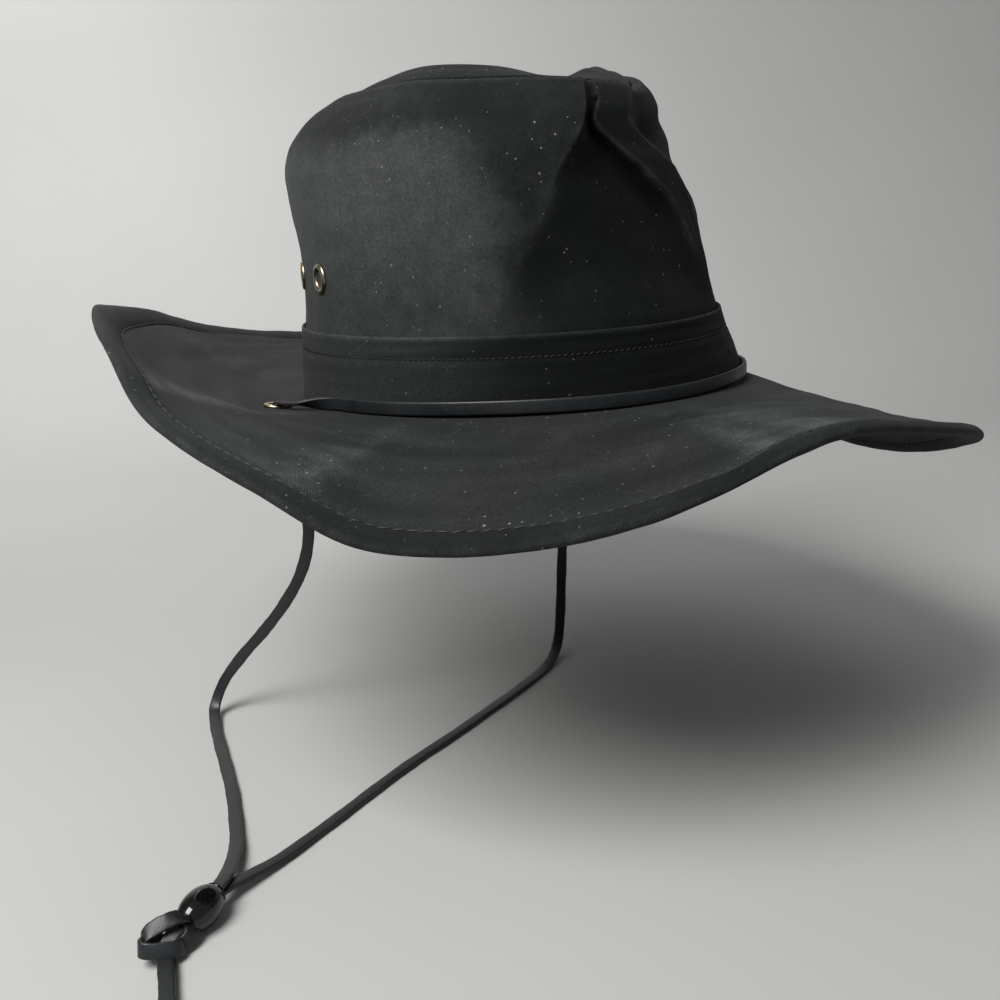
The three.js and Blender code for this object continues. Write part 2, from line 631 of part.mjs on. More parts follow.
function lacePlace(angle) {
  const away = smoothstep(LACE_END - LACE_LEAVES, LACE_END, Math.abs(angle));
  const onBand = CROWN_WALL + BAND_WALL + 3 * GAP + THONG_THICKNESS / 2;
  const overEyelet = CROWN_WALL + BRIM_EYELET_REACH;
  const at = ovalPoint(angle, onBand + (overEyelet - onBand) * away);
  const seated = EYELET_SEAT + EYELET_ROLL + GAP + THONG_THICKNESS / 2;
  at.z = brimPoint(angle, brimEyeletOut * away).z + (1 - away) * LACE_LIFT + away * seated;
  return { at, away };
}

function makeLace() {
  const stations = shares(LACE_STEPS, -LACE_END, LACE_END).map((angle) => {
    const { at, away } = lacePlace(angle);
    const ahead = lacePlace(angle + ANGLE_STEP).at.sub(lacePlace(angle - ANGLE_STEP).at).normalize();
    const lean = smoothstep(0, LACE_FLAT_FROM, away) * Math.PI / 2;
    const outward = brimPoint(angle, brimEyeletOut + ALONG_STEP).sub(brimPoint(angle, brimEyeletOut - ALONG_STEP));
    const wanted = outward.normalize().multiplyScalar(Math.sin(lean));
    wanted.z += Math.cos(lean);
    const across = wanted.addScaledVector(ahead, -wanted.dot(ahead)).normalize();
    return { at, across, face: ahead.clone().cross(across) };
  });
  return strapSolid(stations, THONG_WIDTH, THONG_THICKNESS);
}

addPiece('crown_lace', makeLace(), materials.leather);

// Chin cord
const BEAD_LIP = 0.6;
const BEAD_SQUATNESS = 0.88;

function makeBead() {
  const [half, hole] = [BEAD_LENGTH / 2, BEAD_HOLE / 2];
  const outline = [-1, -0.85, -0.55, -0.2, 0.2, 0.55, 0.85, 1].map((share) => {
    const radius = (BEAD_DIAMETER / 2) * Math.sqrt(1 - (BEAD_SQUATNESS * share) ** 2);
    return new THREE.Vector2(Math.max(radius, hole + BEAD_LIP), half * share);
  });
  const profile = [new THREE.Vector2(hole, -half), ...outline, new THREE.Vector2(hole, half)];
  profile.push(profile[0].clone());
  return new THREE.LatheGeometry(profile, BEAD_SIDES);
}

function headingVector(heading) {
  return new THREE.Vector3(Math.cos(heading * degrees), Math.sin(heading * degrees), 0);
}

// The thong wound round itself: flat drums with eased rims, whose axes lie along headings, as shares of
// KNOT_WIDTH, KNOT_THICKNESS and THONG_WIDTH, each moved along and across TAIL_HEADING and up, in mm
const KNOT_WRAPS = [
  { heading: -118, wide: 0.98, thick: 1.0, long: 1.15, along: 3.0, across: 0.0, up: 0.0 },
  { heading: -56, wide: 0.78, thick: 0.9, long: 1.1, along: -3.2, across: -2.6, up: 0.4 },
  { heading: -90, wide: 0.6, thick: 0.8, long: 1.6, along: -1.0, across: 1.6, up: -0.4 },
];
const KNOT_RIM = 0.8;
const KNOT_NECK = 10.2;

function knotDrum(width, thickness, length, heading, place) {
  const eased = 0.5 * KNOT_RIM;
  const profile = [[0, -0.5], [eased, -0.5], [0.5, -0.25], [0.5, 0.25], [eased, 0.5], [0, 0.5]];
  const drum = new THREE.LatheGeometry(profile.map(([r, y]) => new THREE.Vector2(r, y)), BEAD_SIDES);
  drum.scale(width, length, thickness);
  drum.rotateZ((heading - 90) * degrees);
  drum.translate(place.x, place.y, place.z);
  return toManifold(drum);
}

function makeKnot() {
  const ahead = headingVector(TAIL_HEADING);
  const aside = headingVector(TAIL_HEADING + 90);
  const middle = new THREE.Vector3(...KNOT_PLACE);
  const neck = new THREE.Vector3(...BEAD_PLACE);
  neck.addScaledVector(headingVector(BEAD_HEADING), (BEAD_LENGTH + KNOT_NECK) / 2 + GAP);
  let knot = knotDrum(THONG_WIDTH * 1.7, KNOT_THICKNESS * 0.75, KNOT_NECK, BEAD_HEADING, neck);
  for (const wrap of KNOT_WRAPS) {
    const place = middle.clone().addScaledVector(ahead, wrap.along).addScaledVector(aside, wrap.across);
    place.z += wrap.up;
    const [width, thickness] = [KNOT_WIDTH * wrap.wide, KNOT_THICKNESS * wrap.thick];
    knot = knot.add(knotDrum(width, thickness, THONG_WIDTH * wrap.long, wrap.heading, place));
  }
  return fromManifold(knot);
}

// One of the two tails, laid one over the other, from the face of the knot down to where they lie flat
function makeTail(side) {
  const ahead = headingVector(TAIL_HEADING);
  const across = headingVector(TAIL_HEADING + 90);
  const start = new THREE.Vector3(...KNOT_PLACE);
  start.addScaledVector(ahead, KNOT_WRAPS[0].along + (THONG_WIDTH * KNOT_WRAPS[0].long) / 2 + GAP);
  start.z += (side * (THONG_THICKNESS + GAP)) / 2 - TAIL_LIFT;
  const stations = [0, 0.15, 0.35, 0.6, 1].map((share) => {
    const at = start.clone().addScaledVector(ahead, share * TAIL_LENGTH);
    at.z -= TAIL_DROP * smoothstep(0, 0.6, share);
    return { at, across, face: new THREE.Vector3(0, 0, 1) };
  });
  return strapSolid(stations, THONG_WIDTH, THONG_THICKNESS);
}

addPiece('chin_cord_right', strandGeometry(brimSeats[0], RIGHT_STRAND, RIGHT_TURN), materials.leather);
addPiece('chin_cord_left', strandGeometry(brimSeats[1], LEFT_STRAND, LEFT_TURN), materials.leather);
const bead = addPiece('cord_bead', makeBead(), materials.gloss);
bead.position.set(...BEAD_PLACE);
bead.rotation.z = (BEAD_HEADING - 90) * degrees;
addPiece('cord_knot', makeKnot(), materials.leather);
addPiece('cord_tail_upper', makeTail(1), materials.leather);
addPiece('cord_tail_lower', makeTail(-1), materials.leather);

export default hat;
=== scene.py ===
"""A soft bush hat of black waxed cotton, with brass eyelets and a flat leather thong for a chin cord.

The origin is the middle of the head opening, the wearer looks along -Y, the wearer's left is +X and +Z is up.
Angles are in degrees and go round from the front towards the wearer's left. Forms are worked out in
millimetres and are written to the meshes in metres.
"""
import logging
from collections.abc import Callable
from dataclasses import dataclass, field
from enum import Enum

import bpy
import numpy as np
from mathutils import Matrix


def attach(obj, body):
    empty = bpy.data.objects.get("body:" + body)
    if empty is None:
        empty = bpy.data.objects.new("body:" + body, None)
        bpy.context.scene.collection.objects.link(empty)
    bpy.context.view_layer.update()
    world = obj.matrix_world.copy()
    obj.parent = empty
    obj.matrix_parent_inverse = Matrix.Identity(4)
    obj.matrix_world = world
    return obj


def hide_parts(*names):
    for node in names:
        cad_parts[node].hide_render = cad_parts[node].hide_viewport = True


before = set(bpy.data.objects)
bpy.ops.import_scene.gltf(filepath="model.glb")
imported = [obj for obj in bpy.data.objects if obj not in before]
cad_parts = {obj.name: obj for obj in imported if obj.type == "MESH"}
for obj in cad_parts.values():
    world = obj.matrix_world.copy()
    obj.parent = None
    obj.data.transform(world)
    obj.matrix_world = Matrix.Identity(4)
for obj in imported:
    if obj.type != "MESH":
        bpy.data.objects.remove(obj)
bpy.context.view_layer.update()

LOG = logging.getLogger("bush_hat")
Array = np.ndarray
Row = tuple[float, ...]
Rows = tuple[Row, ...]
Values = dict[str, Array]
Surface = Callable[[Array, Array], Array]
MM = 0.001  # metres in a millimetre
UV_UNIT = 100.0  # millimetres of cloth in one unit of UV
UP = np.array([0.0, 0.0, 1.0])
GAP = 0.3  # clear space between sewn or touching pieces, in millimetres


# Maths on whole arrays


def smoothstep(low: float, high: float, x: Array) -> Array:
    """Rise from 0 at low to 1 at high, with level ends."""
    t = np.clip((x - low) / (high - low), 0.0, 1.0)
    return t * t * (3.0 - 2.0 * t)


def unit(vectors: Array) -> Array:
    """Vectors of length one along the last axis."""
    return vectors / np.maximum(np.linalg.norm(vectors, axis=-1, keepdims=True), 1e-12)


def bell(x: Array, width: float) -> Array:
    """A bell curve of height one: exp of minus the square of x over the width."""
    return np.exp(-((x / width) ** 2))


def eased(wave: Array, power: float) -> Array:
    """A power of a wave that keeps the wave's sign."""
    return np.sign(wave) * np.abs(wave) ** power


def stations(count: int, full: float) -> Array:
    """Even places round a whole turn of the given size, from zero."""
    return full * np.arange(count) / count


def run_along(path: Array) -> Array:
    """Length along a path at each of its points, from zero."""
    return np.concatenate([[0.0], np.cumsum(np.linalg.norm(np.diff(path, axis=0), axis=1))])


def read_rows(at: Array, keys: Array, rows: Array) -> Array:
    """Rows of numbers read between their keys, column by column."""
    return np.stack([np.interp(at, keys, column) for column in rows.T], axis=1)


def squared(wanted: Array, ahead: Array) -> Array:
    """Unit directions square to ahead, as near as they can be to the wanted ones."""
    return unit(wanted - ahead * (wanted * ahead).sum(axis=1, keepdims=True))


def soft_noise(shape: tuple[int, int], coarseness: float, seed: int) -> Array:
    """Smooth noise between about -1 and 1 on a grid that joins at its sides.

    Args:
        shape: points round and points along.
        coarseness: how many waves fit round the grid.
        seed: start of the random draws.

    Returns:
        An array of that shape.
    """
    rows, columns = shape
    white = np.random.default_rng(seed).standard_normal(shape)
    waves = np.fft.fftfreq(rows)[:, None] * rows
    across = np.fft.fftfreq(columns)[None, :] * columns
    kept = np.exp(-((waves / coarseness) ** 2) - (across / (0.5 * coarseness)) ** 2)
    noise = np.real(np.fft.ifft2(np.fft.fft2(white) * kept))
    return np.clip(noise / (2.0 * noise.std()), -1.5, 1.5)


@dataclass(frozen=True)
class Table:
    """Smooth columns over rows: a cubic through the rows whose slopes come from the rows beside them.

    Attributes:
        rows: one tuple a row, with the key first.
        names: names of the columns after the key.
        period: length of one round, or none for a table with two ends.
    """

    rows: Rows
    names: tuple[str, ...]
    period: float | None = None

    def knots(self, name: str) -> tuple[Array, Array]:
        """Keys and values of a column, with two further rows at each end."""
        data = np.array(self.rows, dtype=float)
        keys, values = data[:, 0], data[:, 1 + self.names.index(name)]
        if self.period:
            keys = np.concatenate([keys[-2:] - self.period, keys, keys[:3] + self.period])
            return keys, np.concatenate([values[-2:], values, values[:3]])
        lead = 0.1 * np.array([2.0, 1.0])
        keys = np.concatenate([keys[0] - lead, keys, keys[-1] + lead[::-1]])
        return keys, np.concatenate([values[:1], values[:1], values, values[-1:], values[-1:]])

    def read(self, name: str, at: Array) -> Array:
        """Values of a column at places along the key, in the shape of those places."""
        keys, values = self.knots(name)
        first = self.rows[0][0]
        if self.period:
            held = first + np.mod(np.asarray(at, dtype=float) - first, self.period)
        else:
            held = np.clip(at, first, self.rows[-1][0])
        slopes = np.zeros_like(values)
        slopes[1:-1] = (values[2:] - values[:-2]) / (keys[2:] - keys[:-2])
        i = np.clip(np.searchsorted(keys, held, side="right") - 1, 1, len(keys) - 3)
        span = keys[i + 1] - keys[i]
        u = (held - keys[i]) / span
        u2, u3 = u * u, u * u * u
        return (
            (2 * u3 - 3 * u2 + 1) * values[i]
            + (u3 - 2 * u2 + u) * span * slopes[i]
            + (3 * u2 - 2 * u3) * values[i + 1]
            + (u3 - u2) * span * slopes[i + 1]
        )


# The hat's form


@dataclass(frozen=True)
class HatForm:
    """Sizes and sections of the hat, and the surfaces that follow from them, in millimetres."""

    half_width: float = 84.0
    half_length: float = 98.5
    crown_height: float = 116.0
    crown_wall: float = 1.5
    shoulder_inset: float = 27.0
    crown_swell: float = 4.0
    wall_taper: float = 6.0
    opening_bow: float = 4.5
    pinch_depth: float = 15.0
    tip_sink: float = 17.0
    band_height: float = 28.0
    band_wall: float = 1.2
    brim_width: float = 93.0
    brim_wall: float = 2.0
    brim_rise: float = 48.0
    wall_share: float = 0.6
    wall_height_share: float = 0.72
    shoulder_end: float = np.radians(72.0)
    swell_from: float = 0.3
    slope_turn: float = 0.5
    slope_step: float = 0.004
    dent_valley: float = 0.8
    dent_sharpness: float = 1.3
    crown: Table = Table(
        (
            (-180, 0.0, 0.6, 0.2, 1.0, 1.12, 1.0), (-150, 0.0, 0.5, 0.3, 1.05, 1.105, 1.0),
            (-125, 0.0, 0.3, 0.3, 1.15, 1.085, 1.2), (-100, 0.0, 0.3, 0.3, 1.08, 1.068, 1.6),
            (-75, 0.0, 0.3, 0.2, 0.85, 1.056, 1.65), (-50, 0.0, 0.2, 0.2, 0.75, 1.036, 1.25),
            (-25, 0.1, 0.2, 0.4, 0.8, 1.02, 0.3), (0, 0.5, 0.0, 0.9, 0.9, 1.01, 1.4),
            (30, 1.0, 0.0, 1.5, 1.1, 1.04, 1.6), (60, 0.8, 0.0, 1.7, 1.15, 1.09, 1.1),
            (90, 0.2, 0.2, 0.9, 1.05, 1.11, 1.0), (135, 0.0, 0.5, 0.2, 1.0, 1.12, 1.0),
        ),
        ("bow", "swell", "taper", "inset", "height", "dome"),
        360.0,
    )
    edge: Table = Table(
        (
            (-180, 0.38, 1.0, 1.9), (-166, 0.57, 1.0, 1.9), (-150, 0.84, 1.0, 1.9), (-134, 0.96, 1.01, 2.3),
            (-119, 1.0, 1.02, 2.6), (-106, 0.85, 1.01, 2.4), (-98, 0.66, 1.0, 2.0), (-90, 0.37, 1.0, 1.9),
            (-81, 0.14, 1.0, 1.8), (-71, -0.12, 1.0, 1.7), (-62, -0.43, 1.0, 1.6), (-54, -0.5, 1.0, 1.6),
            (-44, -0.47, 1.0, 1.6), (-34, -0.35, 1.0, 1.5), (-26, -0.19, 1.0, 1.5), (-19, -0.02, 1.0, 1.4),
            (-12, 0.04, 1.0, 1.3), (-3, -0.06, 1.0, 1.3), (11, -0.28, 1.03, 1.2), (24, -0.54, 1.03, 1.2),
            (40, -0.85, 1.0, 1.2), (57, -0.98, 1.0, 1.2), (76, -0.88, 1.0, 1.2), (98, -0.58, 1.0, 1.3),
            (120, -0.26, 1.0, 1.5), (148, 0.08, 1.0, 1.7),
        ),
        ("rise", "reach", "curl"),
        360.0,
    )
    pinch: Table = Table(
        (
            (0.22, -54, 16, 20, 92, 0.0, 0.0, 0.0), (0.35, -48, 11, 17, 89, 0.1, 0.45, 0.32),
            (0.5, -40, 4, 15, 86, 0.38, 0.85, 0.52), (0.6, -36.5, -8, 9, 84, 0.6, 1.02, 1.05),
            (0.7, -31, -18, -2, 82, 0.64, 1.0, 1.2), (0.78, -28, -23.5, -9, 78, 0.5, 0.72, 1.2),
            (0.86, -26.5, -21.5, -8, 66, 0.27, 0.38, 0.8), (1.0, -25, -20, -2, 44, 0.03, 0.06, 0.2),
        ),
        ("fold", "ridge", "far_ridge", "far_fold", "strip", "dent", "far_dent"),
    )
    tip: Table = Table(((0, 0), (0.12, 0.2), (0.3, 0.34), (0.6, -0.35), (1, -1)), ("rise",))
    hollows: Rows = (
        (-56, 0.86, 17, 0.13, 2.2), (-44, 0.34, 12, 0.07, 1.8), (150, 0.8, 24, 0.2, 2.5),
        (-126, 0.38, 26, 0.15, 3.4),
    )

    def oval_normal(self, angle: Array) -> Array:
        """Outward direction of the head oval at an angle."""
        a = np.radians(angle)
        flat = np.zeros_like(a)
        return unit(np.stack([np.sin(a) / self.half_width, -np.cos(a) / self.half_length, flat], axis=-1))

    def oval(self, angle: Array, offset: Array) -> Array:
        """Points at an offset from the head oval, bowed out a little at the front left."""
        a = np.radians(angle)
        line = np.stack([self.half_width * np.sin(a), -self.half_length * np.cos(a), 0.0 * a], axis=-1)
        out = offset + self.opening_bow * self.crown.read("bow", angle)
        return line + self.oval_normal(angle) * np.asarray(out)[..., None]

    def dent_profile(self, share: Array, strip: Array, dent: Array) -> Array:
        """Depth across a dent: a quarter sine down from its fold, then a quarter cosine up to the strip."""
        quarter = np.pi / 2
        down = np.clip(share / self.dent_valley, 0.0, 1.0)
        back = np.clip((share - self.dent_valley) / (1 - self.dent_valley), 0.0, 1.0)
        falling = dent * np.sin(down * quarter) ** self.dent_sharpness
        rising = strip + (dent - strip) * np.cos(back * quarter)
        return np.where(share < self.dent_valley, falling, rising)

    def dent_depth(self, angle: Array, up: Array) -> Array:
        """Depth of the pinch and of the soft hollows at angles and shares of the way up the side."""
        read = {name: self.pinch.read(name, up) for name in self.pinch.names}
        strip, dent, far = (read[name] * self.pinch_depth for name in ("strip", "dent", "far_dent"))
        near_share = (angle - read["fold"]) / (read["ridge"] - read["fold"])
        far_share = (read["far_fold"] - angle) / (read["far_fold"] - read["far_ridge"])
        depth = np.where(
            angle < read["ridge"],
            self.dent_profile(np.clip(near_share, 0.0, 1.0), strip, dent),
            self.dent_profile(np.clip(far_share, 0.0, 1.0), strip, far),
        )
        inside = (angle > read["fold"]) & (angle < read["far_fold"])
        depth = np.where(inside, depth, 0.0)
        for at, level, wide, tall, deep in self.hollows:
            around = np.mod(angle - at + 180.0, 360.0) - 180.0
            depth = depth + deep * np.exp(-((around / wide) ** 2) - ((up - level) / tall) ** 2)
        return depth

    def crown_side(self, angle: Array, up: Array) -> Array:
        """Outer surface of the crown's side: an upright wall for six tenths of the way, then a shoulder arc.

        Args:
            angle: degrees round the hat.
            up: share of the way from the brim to the seam of the tip.

        Returns:
            Points in millimetres.
        """
        ends = np.sin(self.shoulder_end)
        turn = np.maximum(0.0, (up - self.wall_share) / (1 - self.wall_share)) * self.shoulder_end
        wall = np.minimum(up / self.wall_share, 1.0) * self.wall_height_share
        height = wall + (1 - self.wall_height_share) * np.sin(turn) / ends
        lean = (1 - np.cos(turn)) / (1 - np.cos(self.shoulder_end))
        inset = self.shoulder_inset * self.crown.read("inset", angle) * lean
        swelled = np.clip((height - self.swell_from) / (1 - self.swell_from), 0.0, 1.0)
        swell = self.crown_swell * self.crown.read("swell", angle) * np.sin(np.pi * swelled)
        taper = self.wall_taper * self.crown.read("taper", angle) * smoothstep(0, self.swell_from, height)
        dent = self.dent_depth(angle, up)
        point = self.oval(angle, self.crown_wall + swell - taper - inset - dent * np.cos(turn / 2))
        tall = self.crown_height * self.crown.read("height", angle)
        point[..., 2] = tall * height - dent * np.sin(turn / 2)
        return point

    def crown_tip(self, angle: Array, inward: Array) -> Array:
        """Outer surface of the tip, from its seam at 0 to its middle at 1."""
        seam = self.crown_side(angle, np.ones_like(angle))
        left = 1.0 - inward
        point = seam * left[..., None]
        dome = 1.0 + (self.crown.read("dome", angle) - 1.0) * left
        rise = self.tip_sink * self.tip.read("rise", inward) * dome
        point[..., 2] = self.crown_height + (seam[..., 2] - self.crown_height) * left**2 + rise
        return point

    def brim(self, angle: Array, out: Array) -> Array:
        """Upper surface of the brim: level at the crown and curled to the height of its edge.

        The height is the edge's rise times the way out to the power of the curl, and the reach shrinks as the
        edge rises or falls, so that the cloth keeps its width.
        """
        rise = self.brim_rise * self.edge.read("rise", angle)
        width = self.brim_width * self.edge.read("reach", angle)
        point = self.oval(angle, self.crown_wall + np.sqrt(width**2 - rise**2) * out)
        point[..., 2] = rise * np.maximum(out, 0.0) ** self.edge.read("curl", angle)
        return point

    def slopes(self, surface: Surface, angle: Array, along: Array) -> tuple[Array, Array]:
        """Steps of a surface round the hat and along it, from just before each place to just after."""
        turn, step = self.slope_turn, self.slope_step
        around = surface(angle + turn, along) - surface(angle - turn, along)
        return around, surface(angle, along + step) - surface(angle, along - step)

    def brim_normal(self, angle: Array, out: Array) -> Array:
        """Direction square to the brim, upwards."""
        around, outward = self.slopes(self.brim, angle, out)
        return unit(np.cross(outward, around))

    def side_normal(self, angle: Array, up: Array) -> Array:
        """Direction square to the crown's side, outwards."""
        around, rising = self.slopes(self.crown_side, angle, up)
        return unit(np.cross(around, rising))

    def up_at(self, height: float) -> float:
        """Share of the way up the side at a height of its upright wall."""
        return height / (self.crown_height * self.wall_height_share) * self.wall_share

    def crown_angles(self, up: Array, steps: tuple[int, ...]) -> Array:
        """Stations round the crown, some of which run along the folds of the pinch.

        Args:
            up: shares of the way up, one a column.
            steps: number of stations up to each of the four folds and on to the back.

        Returns:
            Angles, with a row for each station and a column for each share.
        """
        folds = [self.pinch.read(name, up) for name in ("fold", "ridge", "far_ridge", "far_fold")]
        marks = [np.full_like(up, -180.0), *folds, np.full_like(up, 180.0)]
        parts = []
        for low, high, count in zip(marks[:-1], marks[1:], steps):
            share = np.arange(count)[:, None] / count
            parts.append(low[None, :] * (1 - share) + high[None, :] * share)
        return np.concatenate(parts)


FORM = HatForm()


# Meshes from grids


def grid_normals(points: Array, closed: bool = True) -> Array:
    """Directions square to a grid of points: the step round crossed with the step along."""
    if closed:
        around = np.roll(points, -1, axis=0) - np.roll(points, 1, axis=0)
    else:
        around = np.gradient(points, axis=0)
    return unit(np.cross(around, np.gradient(points, axis=1)))


def grid_bend(points: Array, normals: Array, reach: int = 3) -> Array:
    """How sharply a grid bends outwards at each point: positive on ridges, negative in folds.

    It is the way from the mean of the neighbours at a reach on both sides to the point, along the normal.
    """
    mean = (np.roll(points, reach, axis=0) + np.roll(points, -reach, axis=0)) / 2
    return ((points - mean) * normals).sum(axis=-1)


@dataclass
class Skin:
    """Points, faces and per-point values of a mesh that is being worked out."""

    points: Array
    faces: Array
    uv: Array
    values: Values = field(default_factory=dict)

    def joined(self, other: "Skin") -> "Skin":
        """One skin that holds this one and another, whose values have the same names."""
        return Skin(
            np.concatenate([self.points, other.points]),
            np.concatenate([self.faces, other.faces + len(self.points)]),
            np.concatenate([self.uv, other.uv]),
            {name: np.concatenate([value, other.values[name]]) for name, value in self.values.items()},
        )


def sheet_skin(
    points: Array, uv: Array, round_closed: bool, along_closed: bool, values: Values | None = None
) -> Skin:
    """Faces over a grid of points.

    Args:
        points: rows by columns by 3.
        uv: places on the cloth, rows (+1 if closed round) by columns (+1 if closed along) by 2.
        round_closed: whether the last row joins the first.
        along_closed: whether the last column joins the first.
        values: per-point numbers, rows by columns each.

    Returns:
        The skin, with four-sided faces.
    """
    n, m = points.shape[:2]
    i = np.arange(n if round_closed else n - 1)[:, None]
    j = np.arange(m if along_closed else m - 1)[None, :]
    i2, j2 = (i + 1) % n, (j + 1) % m
    corners = [i * m + j, i2 * m + j, i2 * m + j2, i * m + j2]
    faces = np.stack([c + 0 * (i + j) for c in corners], axis=-1).reshape(-1, 4)
    corner_uv = [uv[i, j], uv[i + 1, j], uv[i + 1, j + 1], uv[i, j + 1]]
    per_corner = np.stack(corner_uv, axis=2).reshape(-1, 4, 2)
    kept = {name: np.asarray(v, dtype=float).reshape(-1) for name, v in (values or {}).items()}
    return Skin(points.reshape(-1, 3), faces, per_corner, kept)


def turned_outward(skin: Skin) -> Skin:
    """The same closed skin with its faces turned outwards: its volume, summed over the faces, is positive."""
    a, b, c, d = np.moveaxis(skin.points[skin.faces], 1, 0)
    if (a * (np.cross(b, c) + np.cross(c, d))).sum() < 0:
        skin.faces = skin.faces[:, ::-1]
        skin.uv = skin.uv[:, ::-1]
    return skin


def make_piece(
    name: str, skin: Skin, slot: str, material: bpy.types.Material, *replaces: str
) -> bpy.types.Object:
    """Put a skin into a mesh object that rides on the hat.

    Args:
        name: name of the piece.
        skin: its points in millimetres, faces and values. A face whose last corner is double is a triangle.
        slot: material slot of the record; not used.
        material: its one material.
        replaces: solids that the piece stands for.

    Returns:
        The new object, at the origin.
    """
    faces = skin.faces
    three = faces[:, 2] == faces[:, 3]
    totals = np.where(three, 3, 4)
    keep = np.ones(faces.shape, dtype=bool)
    keep[three, 3] = False
    mesh = bpy.data.meshes.new(name)
    mesh.vertices.add(len(skin.points))
    mesh.vertices.foreach_set("co", (skin.points * MM).astype(np.float32).ravel())
    mesh.loops.add(int(totals.sum()))
    mesh.loops.foreach_set("vertex_index", faces[keep].astype(np.int32))
    mesh.polygons.add(len(faces))
    starts = np.concatenate([[0], np.cumsum(totals)[:-1]])
    mesh.polygons.foreach_set("loop_start", starts.astype(np.int32))
    mesh.polygons.foreach_set("loop_total", totals.astype(np.int32))
    layer = mesh.uv_layers.new(name="cloth")
    layer.data.foreach_set("uv", (skin.uv[keep] / UV_UNIT).astype(np.float32).ravel())
    for key, value in skin.values.items():
        attribute = mesh.attributes.new(key, "FLOAT", "POINT")
        attribute.data.foreach_set("value", value.astype(np.float32))
    mesh.polygons.foreach_set("use_smooth", np.ones(len(faces), dtype=bool))
    mesh.update(calc_edges=True)
    mesh.validate()
    mesh.materials.append(material)
    piece = bpy.data.objects.new(name, mesh)
    bpy.context.scene.collection.objects.link(piece)
    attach(piece, "root")
    if replaces:
        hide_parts(*replaces)
    LOG.info("%s: %d points, %d faces", name, len(skin.points), len(faces))
    return piece


def walled(outer: Array, wall: float, uv: Array, values: Values) -> Skin:
    """A cloth wall with rounded rims, closed round the hat.

    The inner skin lies a wall's thickness inside the outer one, and one more row rounds each rim.

    Args:
        outer: rows by columns by 3, closed round.
        wall: thickness.
        uv: places on the cloth, rows + 1 by columns by 2.
        values: per-point numbers of the outer skin.

    Returns:
        The closed skin.
    """
    inner = outer - grid_normals(outer) * wall
    rounding = 0.35 * wall
    top = (outer[:, -1] + inner[:, -1]) / 2 + unit(outer[:, -1] - outer[:, -2]) * rounding
    foot = (outer[:, 0] + inner[:, 0]) / 2 + unit(outer[:, 0] - outer[:, 1]) * rounding
    points = np.concatenate([outer, top[:, None], inner[:, ::-1], foot[:, None]], axis=1)
    section_uv = np.concatenate([uv, uv[:, -1:], uv[:, ::-1], uv[:, :1], uv[:, :1]], axis=1)
    spread = {
        name: np.concatenate([value, value[:, -1:], value[:, ::-1], value[:, :1]], axis=1)
        for name, value in values.items()
    }
    return sheet_skin(points, section_uv, True, True, spread)


def swept(
    path: Array, across: Array, face: Array, section: Array, values: Values, closed: bool = False
) -> Skin:
    """A section carried along a path: its two sizes are laid along across and face at each step.

    Args:
        path: steps by 3.
        across: unit direction of the section's first size, steps by 3.
        face: unit direction of its second size, steps by 3.
        section: steps by points by 2.
        values: numbers for each point of the section.
        closed: whether the last step joins the first.

    Returns:
        The skin, with flat ends unless it is closed.
    """
    points = path[:, None] + across[:, None] * section[..., :1] + face[:, None] * section[..., 1:]
    n, m = points.shape[:2]
    run = run_along(np.append(path, path[:1], axis=0) if closed else path)
    girth = run_along(np.append(section[0], section[0][:1], axis=0))
    uv = np.stack(np.meshgrid(run, girth, indexing="ij"), axis=-1)
    spread = {name: np.broadcast_to(value, (n, m)) for name, value in values.items()}
    skin = sheet_skin(points, uv, closed, True, spread)
    if not closed:
        skin = capped(skin, n, m)
    return turned_outward(skin)


def capped(skin: Skin, n: int, m: int) -> Skin:
    """Close both ends of a swept skin with a fan round a middle point."""
    ring = np.arange(m)
    after = (ring + 1) % m
    last = (n - 1) * m
    pole = np.full(m, len(skin.points))
    first_fan = np.stack([after, ring, pole, pole], axis=1)
    last_fan = np.stack([last + ring, last + after, pole + 1, pole + 1], axis=1)
    middles = [skin.points[:m].mean(axis=0), skin.points[-m:].mean(axis=0)]
    uv = np.concatenate([skin.uv, np.zeros((2 * m, 4, 2))])
    values = {name: np.concatenate([v, [v[:m].mean(), v[-m:].mean()]]) for name, v in skin.values.items()}
    faces = np.concatenate([skin.faces, first_fan, last_fan])
    return Skin(np.concatenate([skin.points, middles]), faces, uv, values)


def lathed(
    place: Array, axis: Array, side: Array, profile: Array, count: int, step: float, values: Values
) -> Skin:
    """A closed profile turned about an axis.

    Args:
        place: point on the axis where the profile's second size is zero.
        axis: unit direction of the axis.
        side: unit direction square to it, where the turn begins.
        profile: distances from the axis and heights along it, points by 2.
        count: number of steps round.
        step: size of one of them on the flat surface.
        values: numbers for each point of the profile.

    Returns:
        The skin, turned outwards.
    """
    turn = stations(count, 2 * np.pi)[:, None]
    spoke = side * np.cos(turn) + np.cross(axis, side) * np.sin(turn)
    points = place + spoke[:, None] * profile[None, :, :1] + axis * profile[None, :, 1:]
    grid = np.meshgrid(np.arange(count + 1) * step, np.arange(len(profile) + 1) * 0.5, indexing="ij")
    spread = {name: np.broadcast_to(value, points.shape[:2]) for name, value in values.items()}
    return turned_outward(sheet_skin(points, np.stack(grid, axis=-1), True, True, spread))


def rounded_section(width: float, thickness: float, count: int, corner: float = 0.32) -> Array:
    """Section of a strap, count points by 2: a box for a corner power near 0, and an oval for 1."""
    turn = 2 * np.pi * (np.arange(count) + 0.5) / count
    x, y = eased(np.cos(turn), corner), eased(np.sin(turn), corner * 1.5)
    return np.stack([x * width / 2, y * thickness / 2], axis=1)


